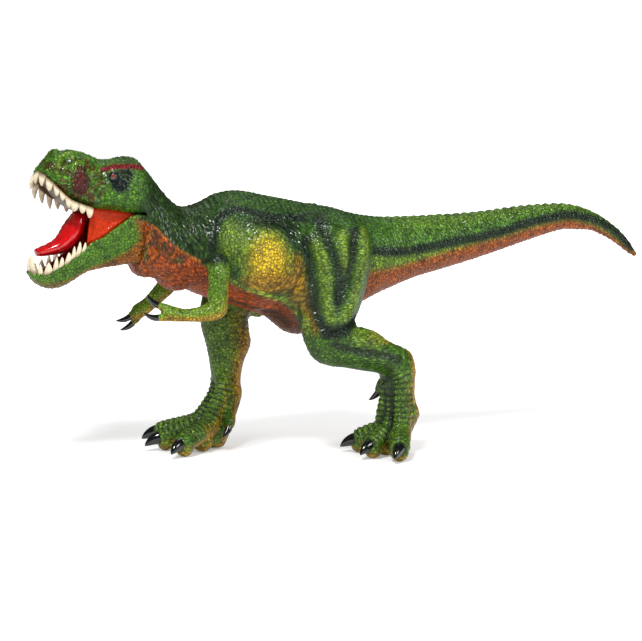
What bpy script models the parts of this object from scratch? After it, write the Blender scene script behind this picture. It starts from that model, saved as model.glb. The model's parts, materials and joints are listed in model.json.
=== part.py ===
"""Toy dinosaur figure: a soft vinyl tyrannosaur with a hinged jaw and swivel arms.

It faces -X, stands on Z = 0 and its left side is -Y. All lengths are metres. The
trunk and tail are hollow shells, the head and legs are glued in by plugs, the jaw
turns on a steel axle and each arm turns on a stem that snaps through the trunk wall.
"""
import math

import bmesh
import bpy
import numpy as np
from mathutils import Matrix, Vector

# Fits
FIT_GAP = 0.0003
RUN_GAP = 0.0005
PLUG_GAP = 0.0007
OVERRUN = 0.005

# Trunk: the hip plugs' axis is its reference point
HIP_X = -0.003
HIP_HEIGHT = 0.098
NECK_TO_HIP = 0.100
BODY_DEPTH = 0.050
BODY_HALF_WIDTH = 0.032
BODY_WALL = 0.0028
HIP_WALL_SHARE = 0.80
FLANK_BULGE = 0.0018
FLANK_RADIUS = 0.019
FLANK_X_SHARE = -0.38
FLANK_Z_SHARE = 0.16

# Tail
TAIL_LENGTH = 0.141
TAIL_WALL = 0.0025

# Head
HEAD_LENGTH = 0.060
SKULL_DEPTH = 0.025
SKULL_HALF_WIDTH = 0.0195
HEAD_PLUG_LAP = 0.0035
SKULL_SQUARENESS = 0.85
PALATE_SQUARENESS = 0.6
PALATE_THICKNESS = 0.0022
PALATE_WIDTH_SHARE = 0.80
PALATE_RISE_SHARE = 1.5
PALATE_STATIONS = 9
EYE_RADIUS = 0.0030
EYE_X_SHARE = 0.305
EYE_Z_SHARE = -0.22
EYE_SEAT_SHARE = 0.865

# Jaw and its hinge
JAW_LENGTH = 0.062
JAW_DEPTH = 0.026
JAW_HALF_WIDTH = 0.0155
JAW_WALL = 0.0022
BARREL_RADIUS = 0.0211
EAR_RADIUS = 0.0060
HINGE_DROP = 0.031
HINGE_SETBACK = 0.001
AXLE_RADIUS = 0.0015
JAW_CLOSES = math.radians(16.0)
JAW_SQUARENESS = 0.75
JAW_LEVEL_SHARE = 0.55
CHANNEL_SQUARENESS = 0.7
CHANNEL_LEVEL_SHARE = 0.6
HINGE_BLOCK_HALF = 0.0045
HINGE_BLOCK_RISE = 0.0090
BARREL_START = math.radians(-111.0)
BARREL_LAP = math.radians(8.0)
BARREL_INNER_SHARE = 0.15
BORE_BACK_SWEEP = math.radians(40.0)
BORE_FRONT_EASE = math.radians(2.0)

# Mouth
CHEEK_THICKNESS = 0.0018
CHEEK_GAP = 0.0019
LINING_THICKNESS = 0.0018
LINING_WIDTH_SHARE = 0.70
LINING_DROP_SHARE = 0.5
LINING_RISE_SHARE = 2.0
TOOTH_HEIGHT = 0.0062
TOOTH_RADIUS = 0.0017
TOOTH_TIP_SHARE = 0.15
UPPER_TOOTH_SHARE = 0.80
LOWER_TOOTH_WIDTH_SHARE = 0.90
LOWER_TOOTH_SINK_SHARE = 0.50
TOOTH_BAR_STATIONS = 19
TOOTH_BAR_POINTS = 6
ARCH_FRONT_ROUNDNESS = 0.75
ARCH_SIDE_ROUNDNESS = 0.85
ARCH_SAMPLES = 181
FLOOR_SQUARENESS = 0.8
FLOOR_LEVEL_SHARE = 0.6
MIDDLE_LEVEL_SHARE = 0.5
TONGUE_HALF_WIDTH = 0.0072
TONGUE_THICKNESS = 0.0095

# Arms
ARM_LENGTH = 0.050
ARM_HALF_WIDTH = 0.0050
STEM_RADIUS = 0.0040
STEM_FLANGE = 0.0014
FLANGE_DEPTH = 0.0056
SHOULDER_RADIUS = 0.0072
SPOT_FACE_RIM = 0.0013

# Legs
LEG_SPREAD = 0.034
ANKLE_HALF_WIDTH = 0.010
HIP_PLUG_RADIUS = 0.0090
HIP_PLUG_DEPTH = 0.006
TOE_LENGTH = 0.031
TOE_HALF_WIDTH = 0.0080
TOE_CLAW_LENGTH = 0.0082
FINGER_LENGTH = 0.0062
FINGER_RADIUS = 0.0024
FINGER_CLAW_LENGTH = 0.0062

# Mesh fineness
RING_POINTS = 22
LIMB_POINTS = 16
ARM_POINTS = 14
TOE_POINTS = 10
CLAW_POINTS = 8
TOOTH_POINTS = 5
TRUNK_STEPS = 2
BARREL_STATIONS = 6
BALL_STATIONS = 7
BALL_END_LEAN = 75.0
SHARP_EDGE = math.radians(45.0)
MERGE_DISTANCE = 0.000004

# Trunk sections from neck rim to tail rim: top x and z, bottom x and z from the hip axis,
# in NECK_TO_HIP and BODY_DEPTH, then half width in BODY_HALF_WIDTH and the widest level
TRUNK_SHARES = (
    (-0.955, 1.12, -0.995, -0.01, 0.59, 0.42),
    (-0.900, 0.99, -0.920, -0.04, 0.59, 0.42),
    (-0.825, 0.80, -0.830, -0.09, 0.61, 0.42),
    (-0.749, 0.69, -0.745, -0.16, 0.66, 0.43),
    (-0.650, 0.73, -0.655, -0.24, 0.73, 0.44),
    (-0.554, 0.82, -0.550, -0.31, 0.83, 0.45),
    (-0.439, 0.85, -0.430, -0.39, 0.94, 0.47),
    (-0.300, 0.80, -0.290, -0.49, 1.00, 0.52),
    (-0.170, 0.75, -0.170, -0.67, 0.97, 0.57),
    (-0.044, 0.70, -0.060, -0.68, 0.84, 0.58),
    (0.080, 0.66, 0.080, -0.55, 0.75, 0.54),
    (0.210, 0.59, 0.210, -0.41, 0.67, 0.50),
    (0.360, 0.55, 0.360, -0.27, 0.61, 0.48),
    (0.550, 0.55, 0.550, -0.13, 0.53, 0.50),
)

# Tail sections from its rim to the tip: top x and z, bottom x and z from the middle of the
# trunk's last section, in TAIL_LENGTH and in that section's depth, then its half width share
TAIL_SHARES = (
    (0.000, 0.50, 0.000, -0.50, 1.00),
    (0.100, 0.51, 0.100, -0.39, 0.92),
    (0.217, 0.53, 0.217, -0.27, 0.80),
    (0.340, 0.57, 0.340, -0.13, 0.68),
    (0.460, 0.63, 0.460, 0.02, 0.58),
    (0.575, 0.66, 0.570, 0.15, 0.48),
    (0.665, 0.66, 0.655, 0.23, 0.40),
    (0.747, 0.59, 0.730, 0.22, 0.33),
    (0.830, 0.44, 0.794, 0.19, 0.26),
    (0.917, 0.19, 0.876, 0.03, 0.19),
    (0.980, -0.10, 0.949, -0.17, 0.12),
    (0.997, -0.225, 0.985, -0.26, 0.05),
)
TAIL_CAVITY_SHARE = 0.58

# Ends of the plugs inside the trunk, as places from its neck rim, 0, to its tail rim, 1
NECK_PLUG_PLACE = 0.09
TAIL_PLUG_PLACE = 0.94

# Skull sections from the neck rim to the snout: top and bottom x and z from the top of the
# neck rim, in HEAD_LENGTH and SKULL_DEPTH, then half width share and the widest level
SKULL_SHARES = (
    (0.007, 0.00, 0.034, -0.98, 0.97, 0.34),
    (0.075, 0.16, 0.108, -1.00, 1.00, 0.32),
    (0.158, 0.18, 0.208, -0.97, 1.00, 0.28),
    (0.250, 0.14, 0.325, -0.94, 0.95, 0.24),
    (0.358, 0.12, 0.442, -0.91, 0.90, 0.20),
    (0.475, 0.23, 0.550, -0.82, 0.86, 0.18),
    (0.600, 0.32, 0.667, -0.70, 0.84, 0.18),
    (0.700, 0.30, 0.767, -0.52, 0.80, 0.18),
    (0.767, 0.34, 0.850, -0.31, 0.74, 0.20),
    (0.833, 0.14, 0.917, -0.21, 0.61, 0.30),
    (0.883, 0.01, 0.950, -0.14, 0.38, 0.40),
)

# Jaw sections from the hinge to the chin: top and bottom x and z from the hinge axis, in
# JAW_LENGTH and JAW_DEPTH, then half width share
JAW_SHARES = (
    (0.129, 0.21, 0.177, -0.77, 1.00),
    (0.210, 0.18, 0.266, -0.80, 1.00),
    (0.306, 0.05, 0.347, -0.82, 1.00),
    (0.395, -0.13, 0.419, -0.85, 0.99),
    (0.508, -0.28, 0.500, -0.89, 0.97),
    (0.573, -0.48, 0.573, -0.99, 0.97),
    (0.685, -0.65, 0.669, -1.12, 0.94),
    (0.790, -0.80, 0.774, -1.20, 0.88),
    (0.879, -0.89, 0.871, -1.18, 0.75),
    (0.952, -0.89, 0.948, -1.07, 0.55),
    (1.000, -0.85, 0.997, -0.93, 0.29),
)

# Tongue centre line from its root to the tip, x and z from the hinge in JAW_LENGTH and
# JAW_DEPTH, then half width and thickness shares
TONGUE_SHARES = (
    (0.484, 0.17, 0.55, 0.55),
    (0.540, 0.10, 0.85, 0.85),
    (0.589, -0.08, 1.00, 1.00),
    (0.642, -0.25, 1.00, 0.95),
    (0.710, -0.385, 0.95, 0.79),
    (0.798, -0.455, 0.85, 0.55),
    (0.863, -0.50, 0.62, 0.38),
    (0.903, -0.515, 0.32, 0.22),
)

# Mouth floor: x, top z and bottom z from the hinge in JAW_LENGTH and JAW_DEPTH, half width
# in the jaw channel's half width
FLOOR_SHARES = (
    (0.225, -0.30, -0.68, 0.72),
    (0.360, -0.40, -0.71, 0.72),
    (0.500, -0.62, -0.77, 0.72),
    (0.573, -0.72, -0.86, 0.72),
    (0.685, -0.83, -0.98, 0.72),
    (0.790, -0.95, -1.06, 0.68),
    (0.870, -1.00, -1.05, 0.50),
)

# Cheek outline, x and z from the hinge in JAW_LENGTH and JAW_DEPTH
CHEEK_SHARES = (
    (0.125, 0.36),
    (0.450, 0.40),
    (0.490, 0.05),
    (0.516, -0.26),
    (0.490, -0.33),
    (0.380, -0.31),
    (0.280, -0.14),
    (0.150, 0.00),
)

# Tooth heights along one side from the front, in TOOTH_HEIGHT
UPPER_TOOTH_SHARES = (0.80, 1.00, 0.90, 1.10, 1.00, 1.20, 1.00, 0.85)
LOWER_TOOTH_SHARES = (1.00, 1.30, 0.90, 0.85, 1.00, 1.00, 1.10, 0.85)

# Upper tooth plate and lower tooth bar ends, as shares of HEAD_LENGTH and JAW_LENGTH
UPPER_ARCH_SHARES = (0.500, 0.905)
LOWER_ARCH_SHARES = (0.560, 0.945)

# Leg stations: x from the hip and z from the floor in HIP_HEIGHT, y in LEG_SPREAD, tilt of
# the section in degrees, half width and half thickness in ANKLE_HALF_WIDTH
LEFT_LEG_SHARES = (
    (0.000, 0.72, 1.347, 0, 0.90, 0.60),
    (0.000, 0.79, 1.276, 0, 1.70, 1.10),
    (-0.010, 0.82, 1.133, 0, 2.20, 1.35),
    (-0.020, 0.85, 0.980, 0, 2.05, 1.35),
    (-0.031, 0.88, 0.837, 3, 1.75, 1.30),
    (-0.043, 0.91, 0.724, 12, 1.50, 1.20),
    (-0.008, 0.92, 0.622, 39, 1.35, 1.15),
    (0.106, 0.90, 0.597, 63, 1.18, 1.08),
    (0.196, 0.88, 0.566, 65, 1.05, 1.00),
    (0.294, 0.87, 0.529, 67, 0.90, 0.90),
    (0.362, 0.85, 0.469, 42, 1.10, 0.85),
    (0.372, 0.82, 0.367, 4, 0.89, 0.83),
    (0.380, 0.80, 0.286, 0, 0.92, 0.88),
    (0.394, 0.75, 0.215, 0, 1.10, 1.00),
    (0.372, 0.67, 0.116, 0, 1.00, 1.00),
    (0.372, 0.65, 0.030, 0, 0.88, 0.95),
    (0.372, 0.65, -0.020, 0, 0.80, 0.90),
)
RIGHT_LEG_SHARES = (
    (0.000, 0.72, 1.347, 0, 0.90, 0.60),
    (-0.010, 0.79, 1.276, 0, 1.70, 1.10),
    (-0.051, 0.82, 1.173, -15, 2.10, 1.35),
    (-0.143, 0.85, 1.071, -35, 2.00, 1.35),
    (-0.255, 0.85, 0.974, -48, 1.80, 1.30),
    (-0.342, 0.84, 0.852, -46, 1.80, 1.30),
    (-0.439, 0.82, 0.776, -22, 1.45, 1.20),
    (-0.454, 0.81, 0.673, 0, 1.30, 1.15),
    (-0.437, 0.79, 0.571, 0, 1.20, 1.05),
    (-0.443, 0.77, 0.469, 0, 0.92, 0.90),
    (-0.436, 0.75, 0.367, 0, 0.80, 0.82),
    (-0.439, 0.74, 0.296, 0, 0.92, 0.85),
    (-0.468, 0.72, 0.210, 0, 0.95, 0.95),
    (-0.500, 0.71, 0.116, 0, 0.92, 1.05),
    (-0.520, 0.69, 0.030, 0, 0.75, 1.00),
    (-0.520, 0.69, -0.020, 0, 0.62, 0.80),
)

# Foot: heading in plan in degrees from -X towards -Y, then each toe's name, splay about it
# and length in TOE_LENGTH
LEFT_FOOT_HEADING = 27.0
RIGHT_FOOT_HEADING = 0.0
LEFT_TOE_SHARES = (("outer", -40.0, 0.77), ("middle", 0.0, 0.58), ("inner", 50.0, 0.58))
RIGHT_TOE_SHARES = (("outer", -33.0, 0.97), ("middle", 0.0, 0.90), ("inner", 39.0, 1.00))
TOE_STARTS_SHARE = 0.18
# Toe stations: distance in TOE_LENGTH, then height, half width and half height in TOE_HALF_WIDTH
TOE_SHARES = (
    (0.00, 1.42, 0.85, 1.42),
    (0.25, 1.28, 0.92, 1.32),
    (0.50, 1.10, 0.84, 1.14),
    (0.68, 0.95, 0.80, 0.99),
    (0.86, 0.82, 0.76, 0.87),
    (0.97, 0.76, 0.58, 0.66),
    (1.02, 0.76, 0.30, 0.34),
)
# Claw stations: distance and drop in its length, then half thickness in its base radius
CLAW_SHARES = ((-0.25, -0.05, 0.85), (0.10, 0.00, 1.00), (0.50, 0.12, 0.74),
               (0.80, 0.31, 0.40), (1.00, 0.52, 0.08))
CLAW_FLATNESS = 0.85
TOE_CLAW_BASE_SHARE = 0.48

# Rear toe: start and direction of each, x from the hip and z in HIP_HEIGHT, y in LEG_SPREAD
LEFT_SPUR_SHARES = ((0.340, 0.60, 0.420), (0.302, 0.47, 0.392), (0.290, 0.42, 0.345))
RIGHT_SPUR_SHARES = ((-0.445, 0.58, 0.21), (-0.452, 0.40, 0.17), (-0.462, 0.35, 0.13))
SPUR_RADIUS_SHARES = (0.42, 0.36, 0.20)
SPUR_SIDEWAYS_SHARES = (0, 1, 0.3)
SPUR_CLAW_BASE_SHARE = 0.21
SPUR_CLAW_LENGTH_SHARE = 0.78

# Shoulder: x and z from the hip axis, and its seat as a share of the body's half width
SHOULDER_X_SHARE = -0.635
SHOULDER_Z_SHARE = 0.14
SHOULDER_SEAT_SHARE = 0.76
# Arm stations: x and z from the shoulder in ARM_LENGTH, y beyond the seat, half width and
# half thickness in ARM_HALF_WIDTH, tilt in degrees between them
LEFT_ARM_SHARES = (
    (0.000, 1.20, 0.130, 0, 0.75, 0.60),
    (0.004, 1.26, 0.050, 0, 1.36, 1.12),
    (0.004, 1.30, -0.060, 0, 1.42, 1.18),
    (-0.014, 1.36, -0.200, 0, 1.16, 1.04),
    (-0.016, 1.42, -0.340, -5, 1.12, 0.96),
    (-0.034, 1.50, -0.470, -45, 1.12, 0.92),
    (-0.170, 1.50, -0.514, -80, 0.84, 0.84),
    (-0.350, 1.50, -0.524, -90, 0.66, 0.76),
    (-0.510, 1.50, -0.500, -90, 0.80, 0.84),
    (-0.600, 1.50, -0.490, -90, 0.52, 0.60),
)
RIGHT_ARM_SHARES = (
    (0.000, 1.20, 0.130, 0, 0.75, 0.60),
    (0.004, 1.26, 0.050, 0, 1.36, 1.12),
    (-0.020, 1.30, -0.060, -15, 1.40, 1.18),
    (-0.100, 1.34, -0.180, -30, 1.16, 1.04),
    (-0.180, 1.38, -0.290, -38, 1.08, 0.96),
    (-0.290, 1.40, -0.410, -45, 0.92, 0.90),
    (-0.410, 1.40, -0.520, -48, 0.80, 0.84),
    (-0.520, 1.40, -0.594, -50, 0.84, 0.84),
    (-0.575, 1.40, -0.645, -50, 0.54, 0.60),
)
# Fingers: root x, y, z as on the arm, then pitch and yaw in degrees of each finger
LEFT_FINGER_SHARES = ((-0.540, 1.38, -0.455, 22, -6), (-0.545, 1.62, -0.530, -4, 6))
RIGHT_FINGER_SHARES = ((-0.545, 1.28, -0.590, -36, -6), (-0.520, 1.52, -0.640, -52, 6))
# Finger stations: distance in FINGER_LENGTH and radius in FINGER_RADIUS
FINGER_SECTION_SHARES = ((0.0, 1.0), (0.5, 1.0), (0.85, 0.86), (1.0, 0.45))
FINGER_CLAW_BASE_SHARE = 0.80

# Finishes: name, sRGB colour, roughness, metallic
FINISHES = {
    "vinyl_back_green": ("3f7a2e", 0.42, 0.0),
    "vinyl_head_green": ("4f9034", 0.38, 0.0),
    "vinyl_tail_green": ("44762f", 0.42, 0.0),
    "vinyl_leg_green": ("4a7f2f", 0.40, 0.0),
    "vinyl_arm_green": ("55842f", 0.40, 0.0),
    "enamel_ivory": ("e6d9bd", 0.30, 0.0),
    "gloss_mouth_red": ("7d140f", 0.25, 0.0),
    "gloss_tongue_red": ("c4100f", 0.18, 0.0),
    "vinyl_cheek_orange": ("d8452a", 0.35, 0.0),
    "gloss_claw_black": ("0d1b1f", 0.15, 0.0),
    "gloss_eye_black": ("101416", 0.08, 0.0),
    "axle_steel": ("b5b8bb", 0.30, 1.0),
}


TRUNK_RINGS = (len(TRUNK_SHARES) - 1) * TRUNK_STEPS + 1
BARREL_INNER = BARREL_INNER_SHARE * BARREL_RADIUS
BARREL_STOP = BARREL_START + JAW_CLOSES + BARREL_LAP
SHOULDER_SEAT = SHOULDER_SEAT_SHARE * BODY_HALF_WIDTH
HIP_WALL_Y = HIP_WALL_SHARE * BODY_HALF_WIDTH


def linear(hex_colour):
    """Turn an sRGB hex colour into linear RGBA."""
    channels = [int(hex_colour[i:i + 2], 16) / 255 for i in (0, 2, 4)]
    return [c / 12.92 if c <= 0.04045 else ((c + 0.055) / 1.055) ** 2.4 for c in channels] + [1.0]


def finish(name):
    """Make, or find, the Principled material of one finish."""
    material = bpy.data.materials.get(name)
    if material:
        return material
    colour, roughness, metallic = FINISHES[name]
    material = bpy.data.materials.new(name)
    material.use_nodes = True
    shader = material.node_tree.nodes["Principled BSDF"]
    shader.inputs["Base Color"].default_value = linear(colour)
    shader.inputs["Roughness"].default_value = roughness
    shader.inputs["Metallic"].default_value = metallic
    return material


def refine(rows, steps):
    """Fill in steps rows between each pair of rows along a Catmull-Rom curve."""
    rows = np.array(rows, float)
    padded = np.vstack((2 * rows[0] - rows[1], rows, 2 * rows[-1] - rows[-2]))
    filled = [rows[0]]
    for before, start, stop, after in zip(padded, padded[1:], padded[2:], padded[3:]):
        for step in range(1, steps + 1):
            t = step / steps
            filled.append(0.5 * (2 * start + (stop - before) * t
                                 + (2 * before - 5 * start + 4 * stop - after) * t ** 2
                                 + (3 * start - before - 3 * stop + after) * t ** 3))
    return np.array(filled)


def egg_ring(top, bottom, half_width, level, grow=0.0, square=1.0, points=RING_POINTS):
    """One ring of a body section: it spans bottom to top and is widest at its level."""
    turn = np.linspace(0, 2 * math.pi, points, endpoint=False)
    across = np.sign(np.cos(turn)) * np.abs(np.cos(turn)) ** square
    up = np.sign(np.sin(turn)) * np.abs(np.sin(turn)) ** square
    height = level + np.where(up > 0, (1 - level) * up, level * up)
    top, bottom = np.array(top), np.array(bottom)
    depth = np.linalg.norm(top - bottom)
    rise = (top - bottom) / depth
    along = height * (depth + 2 * grow) - grow
    return np.column_stack((bottom[0] + rise[0] * along, (half_width + grow) * across,
                            bottom[1] + rise[1] * along))


def flat_ring(centre, tilt, half_long, half_thick, points=LIMB_POINTS):
    """One oval ring of a limb: its long axis is tilted in the XZ plane, its short one is Y."""
    turn = np.linspace(0, 2 * math.pi, points, endpoint=False)
    along = half_long * np.cos(turn)
    return np.column_stack((centre[0] + along * math.cos(tilt), centre[1] + half_thick * np.sin(turn),
                            centre[2] + along * math.sin(tilt)))


def mesh_object(name, vertices, faces, material_name):
    """Make an object whose faces point outwards, whatever order its rings ran in."""
    mesh = bpy.data.meshes.new(name)
    mesh.from_pydata([tuple(v) for v in vertices], [], faces)
    shape = bmesh.new()
    shape.from_mesh(mesh)
    bmesh.ops.triangulate(shape, faces=[f for f in shape.faces if len(f.verts) > 4])
    if shape.calc_volume(signed=True) < 0:
        bmesh.ops.reverse_faces(shape, faces=shape.faces)
    shape.to_mesh(mesh)
    shape.free()
    mesh.materials.append(finish(material_name))
    thing = bpy.data.objects.new(name, mesh)
    bpy.context.scene.collection.objects.link(thing)
    return thing


def ring_faces(count, points, first=0, inward=False):
    """Quads between count rings of points each."""
    faces = []
    for ring in range(count - 1):
        for i in range(points):
            j = (i + 1) % points
            a, b = first + ring * points, first + (ring + 1) * points
            quad = (a + i, a + j, b + j, b + i)
            faces.append(quad[::-1] if inward else quad)
    return faces


def loft(name, rings, material_name):
    """A solid through the rings, closed by flat ends."""
    points = len(rings[0])
    faces = ring_faces(len(rings), points)
    faces.append(tuple(range(points))[::-1])
    last = (len(rings) - 1) * points
    faces.append(tuple(range(last, last + points)))
    return mesh_object(name, np.vstack(rings), faces, material_name)


def shell(name, outer, inner, material_name, open_end):
    """A wall between outer and inner rings, open at the first ring and, if asked, the last."""
    points = len(outer[0])
    first_inner = len(outer) * points
    faces = ring_faces(len(outer), points)
    faces += ring_faces(len(inner), points, first_inner, inward=True)
    last_outer = first_inner - points
    last_inner = first_inner + (len(inner) - 1) * points
    for i in range(points):
        j = (i + 1) % points
        faces.append((j, i, first_inner + i, first_inner + j))
        if open_end:
            faces.append((last_outer + i, last_outer + j, last_inner + j, last_inner + i))
    if not open_end:
        faces.append(tuple(range(last_outer, last_outer + points)))
        faces.append(tuple(range(last_inner, last_inner + points))[::-1])
    return mesh_object(name, np.vstack(list(outer) + list(inner)), faces, material_name)


def prism(name, outline, y_low, y_high, material_name):
    """Extrude an outline of x and z along Y."""
    outline = np.array(outline)
    rings = [np.column_stack((outline[:, 0], np.full(len(outline), y), outline[:, 1]))
             for y in (y_low, y_high)]
    return loft(name, rings, material_name)


def circle(centre, radius, points=RING_POINTS):
    """A circle's points as an outline of x and z."""
    turn = np.linspace(0, 2 * math.pi, points, endpoint=False)
    return np.column_stack((centre[0] + radius * np.cos(turn), centre[1] + radius * np.sin(turn)))


def ball(name, centre, radius, material_name):
    """A sphere of rings about the Y axis."""
    rings = []
    for lean in np.linspace(-BALL_END_LEAN, BALL_END_LEAN, BALL_STATIONS):
        lean = math.radians(lean)
        outline = circle((centre[0], centre[2]), radius * math.cos(lean), LIMB_POINTS)
        y = np.full(len(outline), centre[1] + radius * math.sin(lean))
        rings.append(np.column_stack((outline[:, 0], y, outline[:, 1])))
    return loft(name, rings, material_name)


def combine(target, other, operation):
    """Apply one exact Boolean with the other body and remove that body."""
    modifier = target.modifiers.new(operation.lower(), "BOOLEAN")
    modifier.operation = operation
    modifier.solver = "EXACT"
    modifier.object = other
    graph = bpy.context.evaluated_depsgraph_get()
    result = bpy.data.meshes.new_from_object(target.evaluated_get(graph))
    shape = bmesh.new()
    shape.from_mesh(result)
    bmesh.ops.remove_doubles(shape, verts=shape.verts, dist=MERGE_DISTANCE)
    bmesh.ops.dissolve_degenerate(shape, edges=shape.edges, dist=MERGE_DISTANCE)
    shape.to_mesh(result)
    shape.free()
    target.modifiers.clear()
    target.data = result
    bpy.data.objects.remove(other)


def unite(target, other):
    """Join the other body to the target."""
    combine(target, other, "UNION")


def cut(target, other):
    """Take the other body out of the target."""
    combine(target, other, "DIFFERENCE")


def trunk_ring(place, grow):
    """The trunk's section at a place from 0, the neck rim, to 1, the tail rim."""
    rows = refine(TRUNK_SHARES, TRUNK_STEPS)
    at = place * (len(rows) - 1)
    low = min(int(at), len(rows) - 2)
    row = rows[low] + (rows[low + 1] - rows[low]) * (at - low)
    top = (HIP_X + row[0] * NECK_TO_HIP, HIP_HEIGHT + row[1] * BODY_DEPTH)
    bottom = (HIP_X + row[2] * NECK_TO_HIP, HIP_HEIGHT + row[3] * BODY_DEPTH)
    return swell_flanks(egg_ring(top, bottom, row[4] * BODY_HALF_WIDTH, row[5], grow))


def swell_flanks(ring):
    """A trunk section with its sides moved out where the flank muscles stand out."""
    centre = (HIP_X + FLANK_X_SHARE * NECK_TO_HIP, HIP_HEIGHT + FLANK_Z_SHARE * BODY_DEPTH)
    ring = np.array(ring)
    far = np.linalg.norm(ring[:, (0, 2)] - centre, axis=1) / FLANK_RADIUS
    ring[:, 1] += np.sign(ring[:, 1]) * FLANK_BULGE * np.clip(1 - far ** 2, 0, 1) ** 2
    return ring


def trunk_rings(grow, count=TRUNK_RINGS):
    """All the trunk's sections, grown outwards."""
    return [trunk_ring(place, grow) for place in np.linspace(0, 1, count)]


def neck_top():
    """The top point of the neck rim, which the skull is drawn from."""
    return (HIP_X + TRUNK_SHARES[0][0] * NECK_TO_HIP, HIP_HEIGHT + TRUNK_SHARES[0][1] * BODY_DEPTH)


def hinge_axis():
    """The jaw axle's x and z."""
    x, z = neck_top()
    return (x + HINGE_SETBACK, z - HINGE_DROP)


def from_hinge(x_share, z_share):
    """A point of the jaw or mouth, given from the hinge."""
    x, z = hinge_axis()
    return (x - x_share * JAW_LENGTH, z + z_share * JAW_DEPTH)


def swept_barrel(grow, start, stop, inner):
    """The jaw's rear section turned about the hinge, from start to stop angle."""
    x, z = hinge_axis()
    rings = []
    for angle in np.linspace(start, stop, BARREL_STATIONS):
        aim = np.array((math.cos(angle), math.sin(angle)))
        top = np.array((x, z)) + aim * inner
        bottom = np.array((x, z)) + aim * BARREL_RADIUS
        rings.append(egg_ring(top, bottom, JAW_HALF_WIDTH, JAW_LEVEL_SHARE, grow, JAW_SQUARENESS))
    return rings


def make_trunk():
    """The hollow trunk, with its neck bored for the jaw and holes for arms and legs."""
    inner_count = TRUNK_RINGS // 2 + 1
    trunk = shell("trunk_shell", trunk_rings(0.0), trunk_rings(-BODY_WALL, inner_count),
                  "vinyl_back_green", open_end=True)
    bore = swept_barrel(RUN_GAP, BARREL_START - BORE_BACK_SWEEP, BARREL_STOP + BORE_FRONT_EASE, BARREL_INNER)
    cut(trunk, loft("bore", bore, "vinyl_back_green"))
    ear_side = JAW_HALF_WIDTH + RUN_GAP
    cut(trunk, prism("ears", circle(hinge_axis(), EAR_RADIUS + RUN_GAP), -ear_side, ear_side,
                     "vinyl_back_green"))
    hip = (HIP_X, HIP_HEIGHT)
    far = BODY_HALF_WIDTH + OVERRUN
    cut(trunk, prism("hips", circle(hip, HIP_PLUG_RADIUS + FIT_GAP), -far, far, "vinyl_back_green"))
    for side in (-1, 1):
        seat = side * SHOULDER_SEAT
        cut(trunk, prism("spot_face", circle(shoulder(), SHOULDER_RADIUS + SPOT_FACE_RIM), seat, side * far,
                         "vinyl_back_green"))
    cut(trunk, prism("stems", circle(shoulder(), STEM_RADIUS + FIT_GAP), -far, far, "vinyl_back_green"))
    room = SHOULDER_SEAT - FLANGE_DEPTH + FIT_GAP
    cut(trunk, prism("flanges", circle(shoulder(), STEM_RADIUS + STEM_FLANGE + FIT_GAP), -room, room,
                     "vinyl_back_green"))
    return trunk


def shoulder():
    """The arm stems' x and z."""
    return (HIP_X + SHOULDER_X_SHARE * NECK_TO_HIP, HIP_HEIGHT + SHOULDER_Z_SHARE * BODY_DEPTH)


def tail_section(row, grow, slide=0.0):
    """One tail section, drawn from the middle of the trunk's last one."""
    last = TRUNK_SHARES[-1]
    x = HIP_X + last[0] * NECK_TO_HIP + slide
    middle = HIP_HEIGHT + (last[1] + last[3]) / 2 * BODY_DEPTH
    depth = (last[1] - last[3]) * BODY_DEPTH
    top = (x + row[0] * TAIL_LENGTH, middle + row[1] * depth)
    bottom = (x + row[2] * TAIL_LENGTH, middle + row[3] * depth)
    return egg_ring(top, bottom, row[4] * last[4] * BODY_HALF_WIDTH, last[5], grow)


def make_tail():
    """The hollow tail, with a plug that is glued into the trunk's rear rim."""
    rows = refine(TAIL_SHARES, 1)
    plug_grow = -BODY_WALL - FIT_GAP
    plug = [trunk_ring(TAIL_PLUG_PLACE, plug_grow), trunk_ring(1.0, plug_grow)]
    plug[1][:, 0] += FIT_GAP
    outer = plug + [tail_section(row, 0.0, FIT_GAP) for row in rows]
    bore = [trunk_ring(TAIL_PLUG_PLACE, plug_grow - TAIL_WALL)]
    hollow = [row for row in rows[1:] if row[0] <= TAIL_CAVITY_SHARE]
    bore += [tail_section(row, -TAIL_WALL - BODY_WALL * (row[0] < rows[2][0])) for row in hollow]
    return shell("tail_shell", outer, bore, "vinyl_tail_green", open_end=False)


def skull_rings(grow):
    """The skull's sections, drawn from the top of the neck rim."""
    x, z = neck_top()
    rings = []
    for row in refine(SKULL_SHARES, 2):
        top = (x - row[0] * HEAD_LENGTH, z + row[1] * SKULL_DEPTH)
        bottom = (x - row[2] * HEAD_LENGTH, z + row[3] * SKULL_DEPTH)
        rings.append(egg_ring(top, bottom, row[4] * SKULL_HALF_WIDTH, row[5], grow, SKULL_SQUARENESS))
    return rings


def slab_below(name, height):
    """A cutter that removes all below a height."""
    x, far = HIP_X, NECK_TO_HIP + HEAD_LENGTH + TAIL_LENGTH
    outline = ((x - far, height - far), (x + far, height - far), (x + far, height), (x - far, height))
    return prism(name, outline, -far, far, "vinyl_leg_green")


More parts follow.
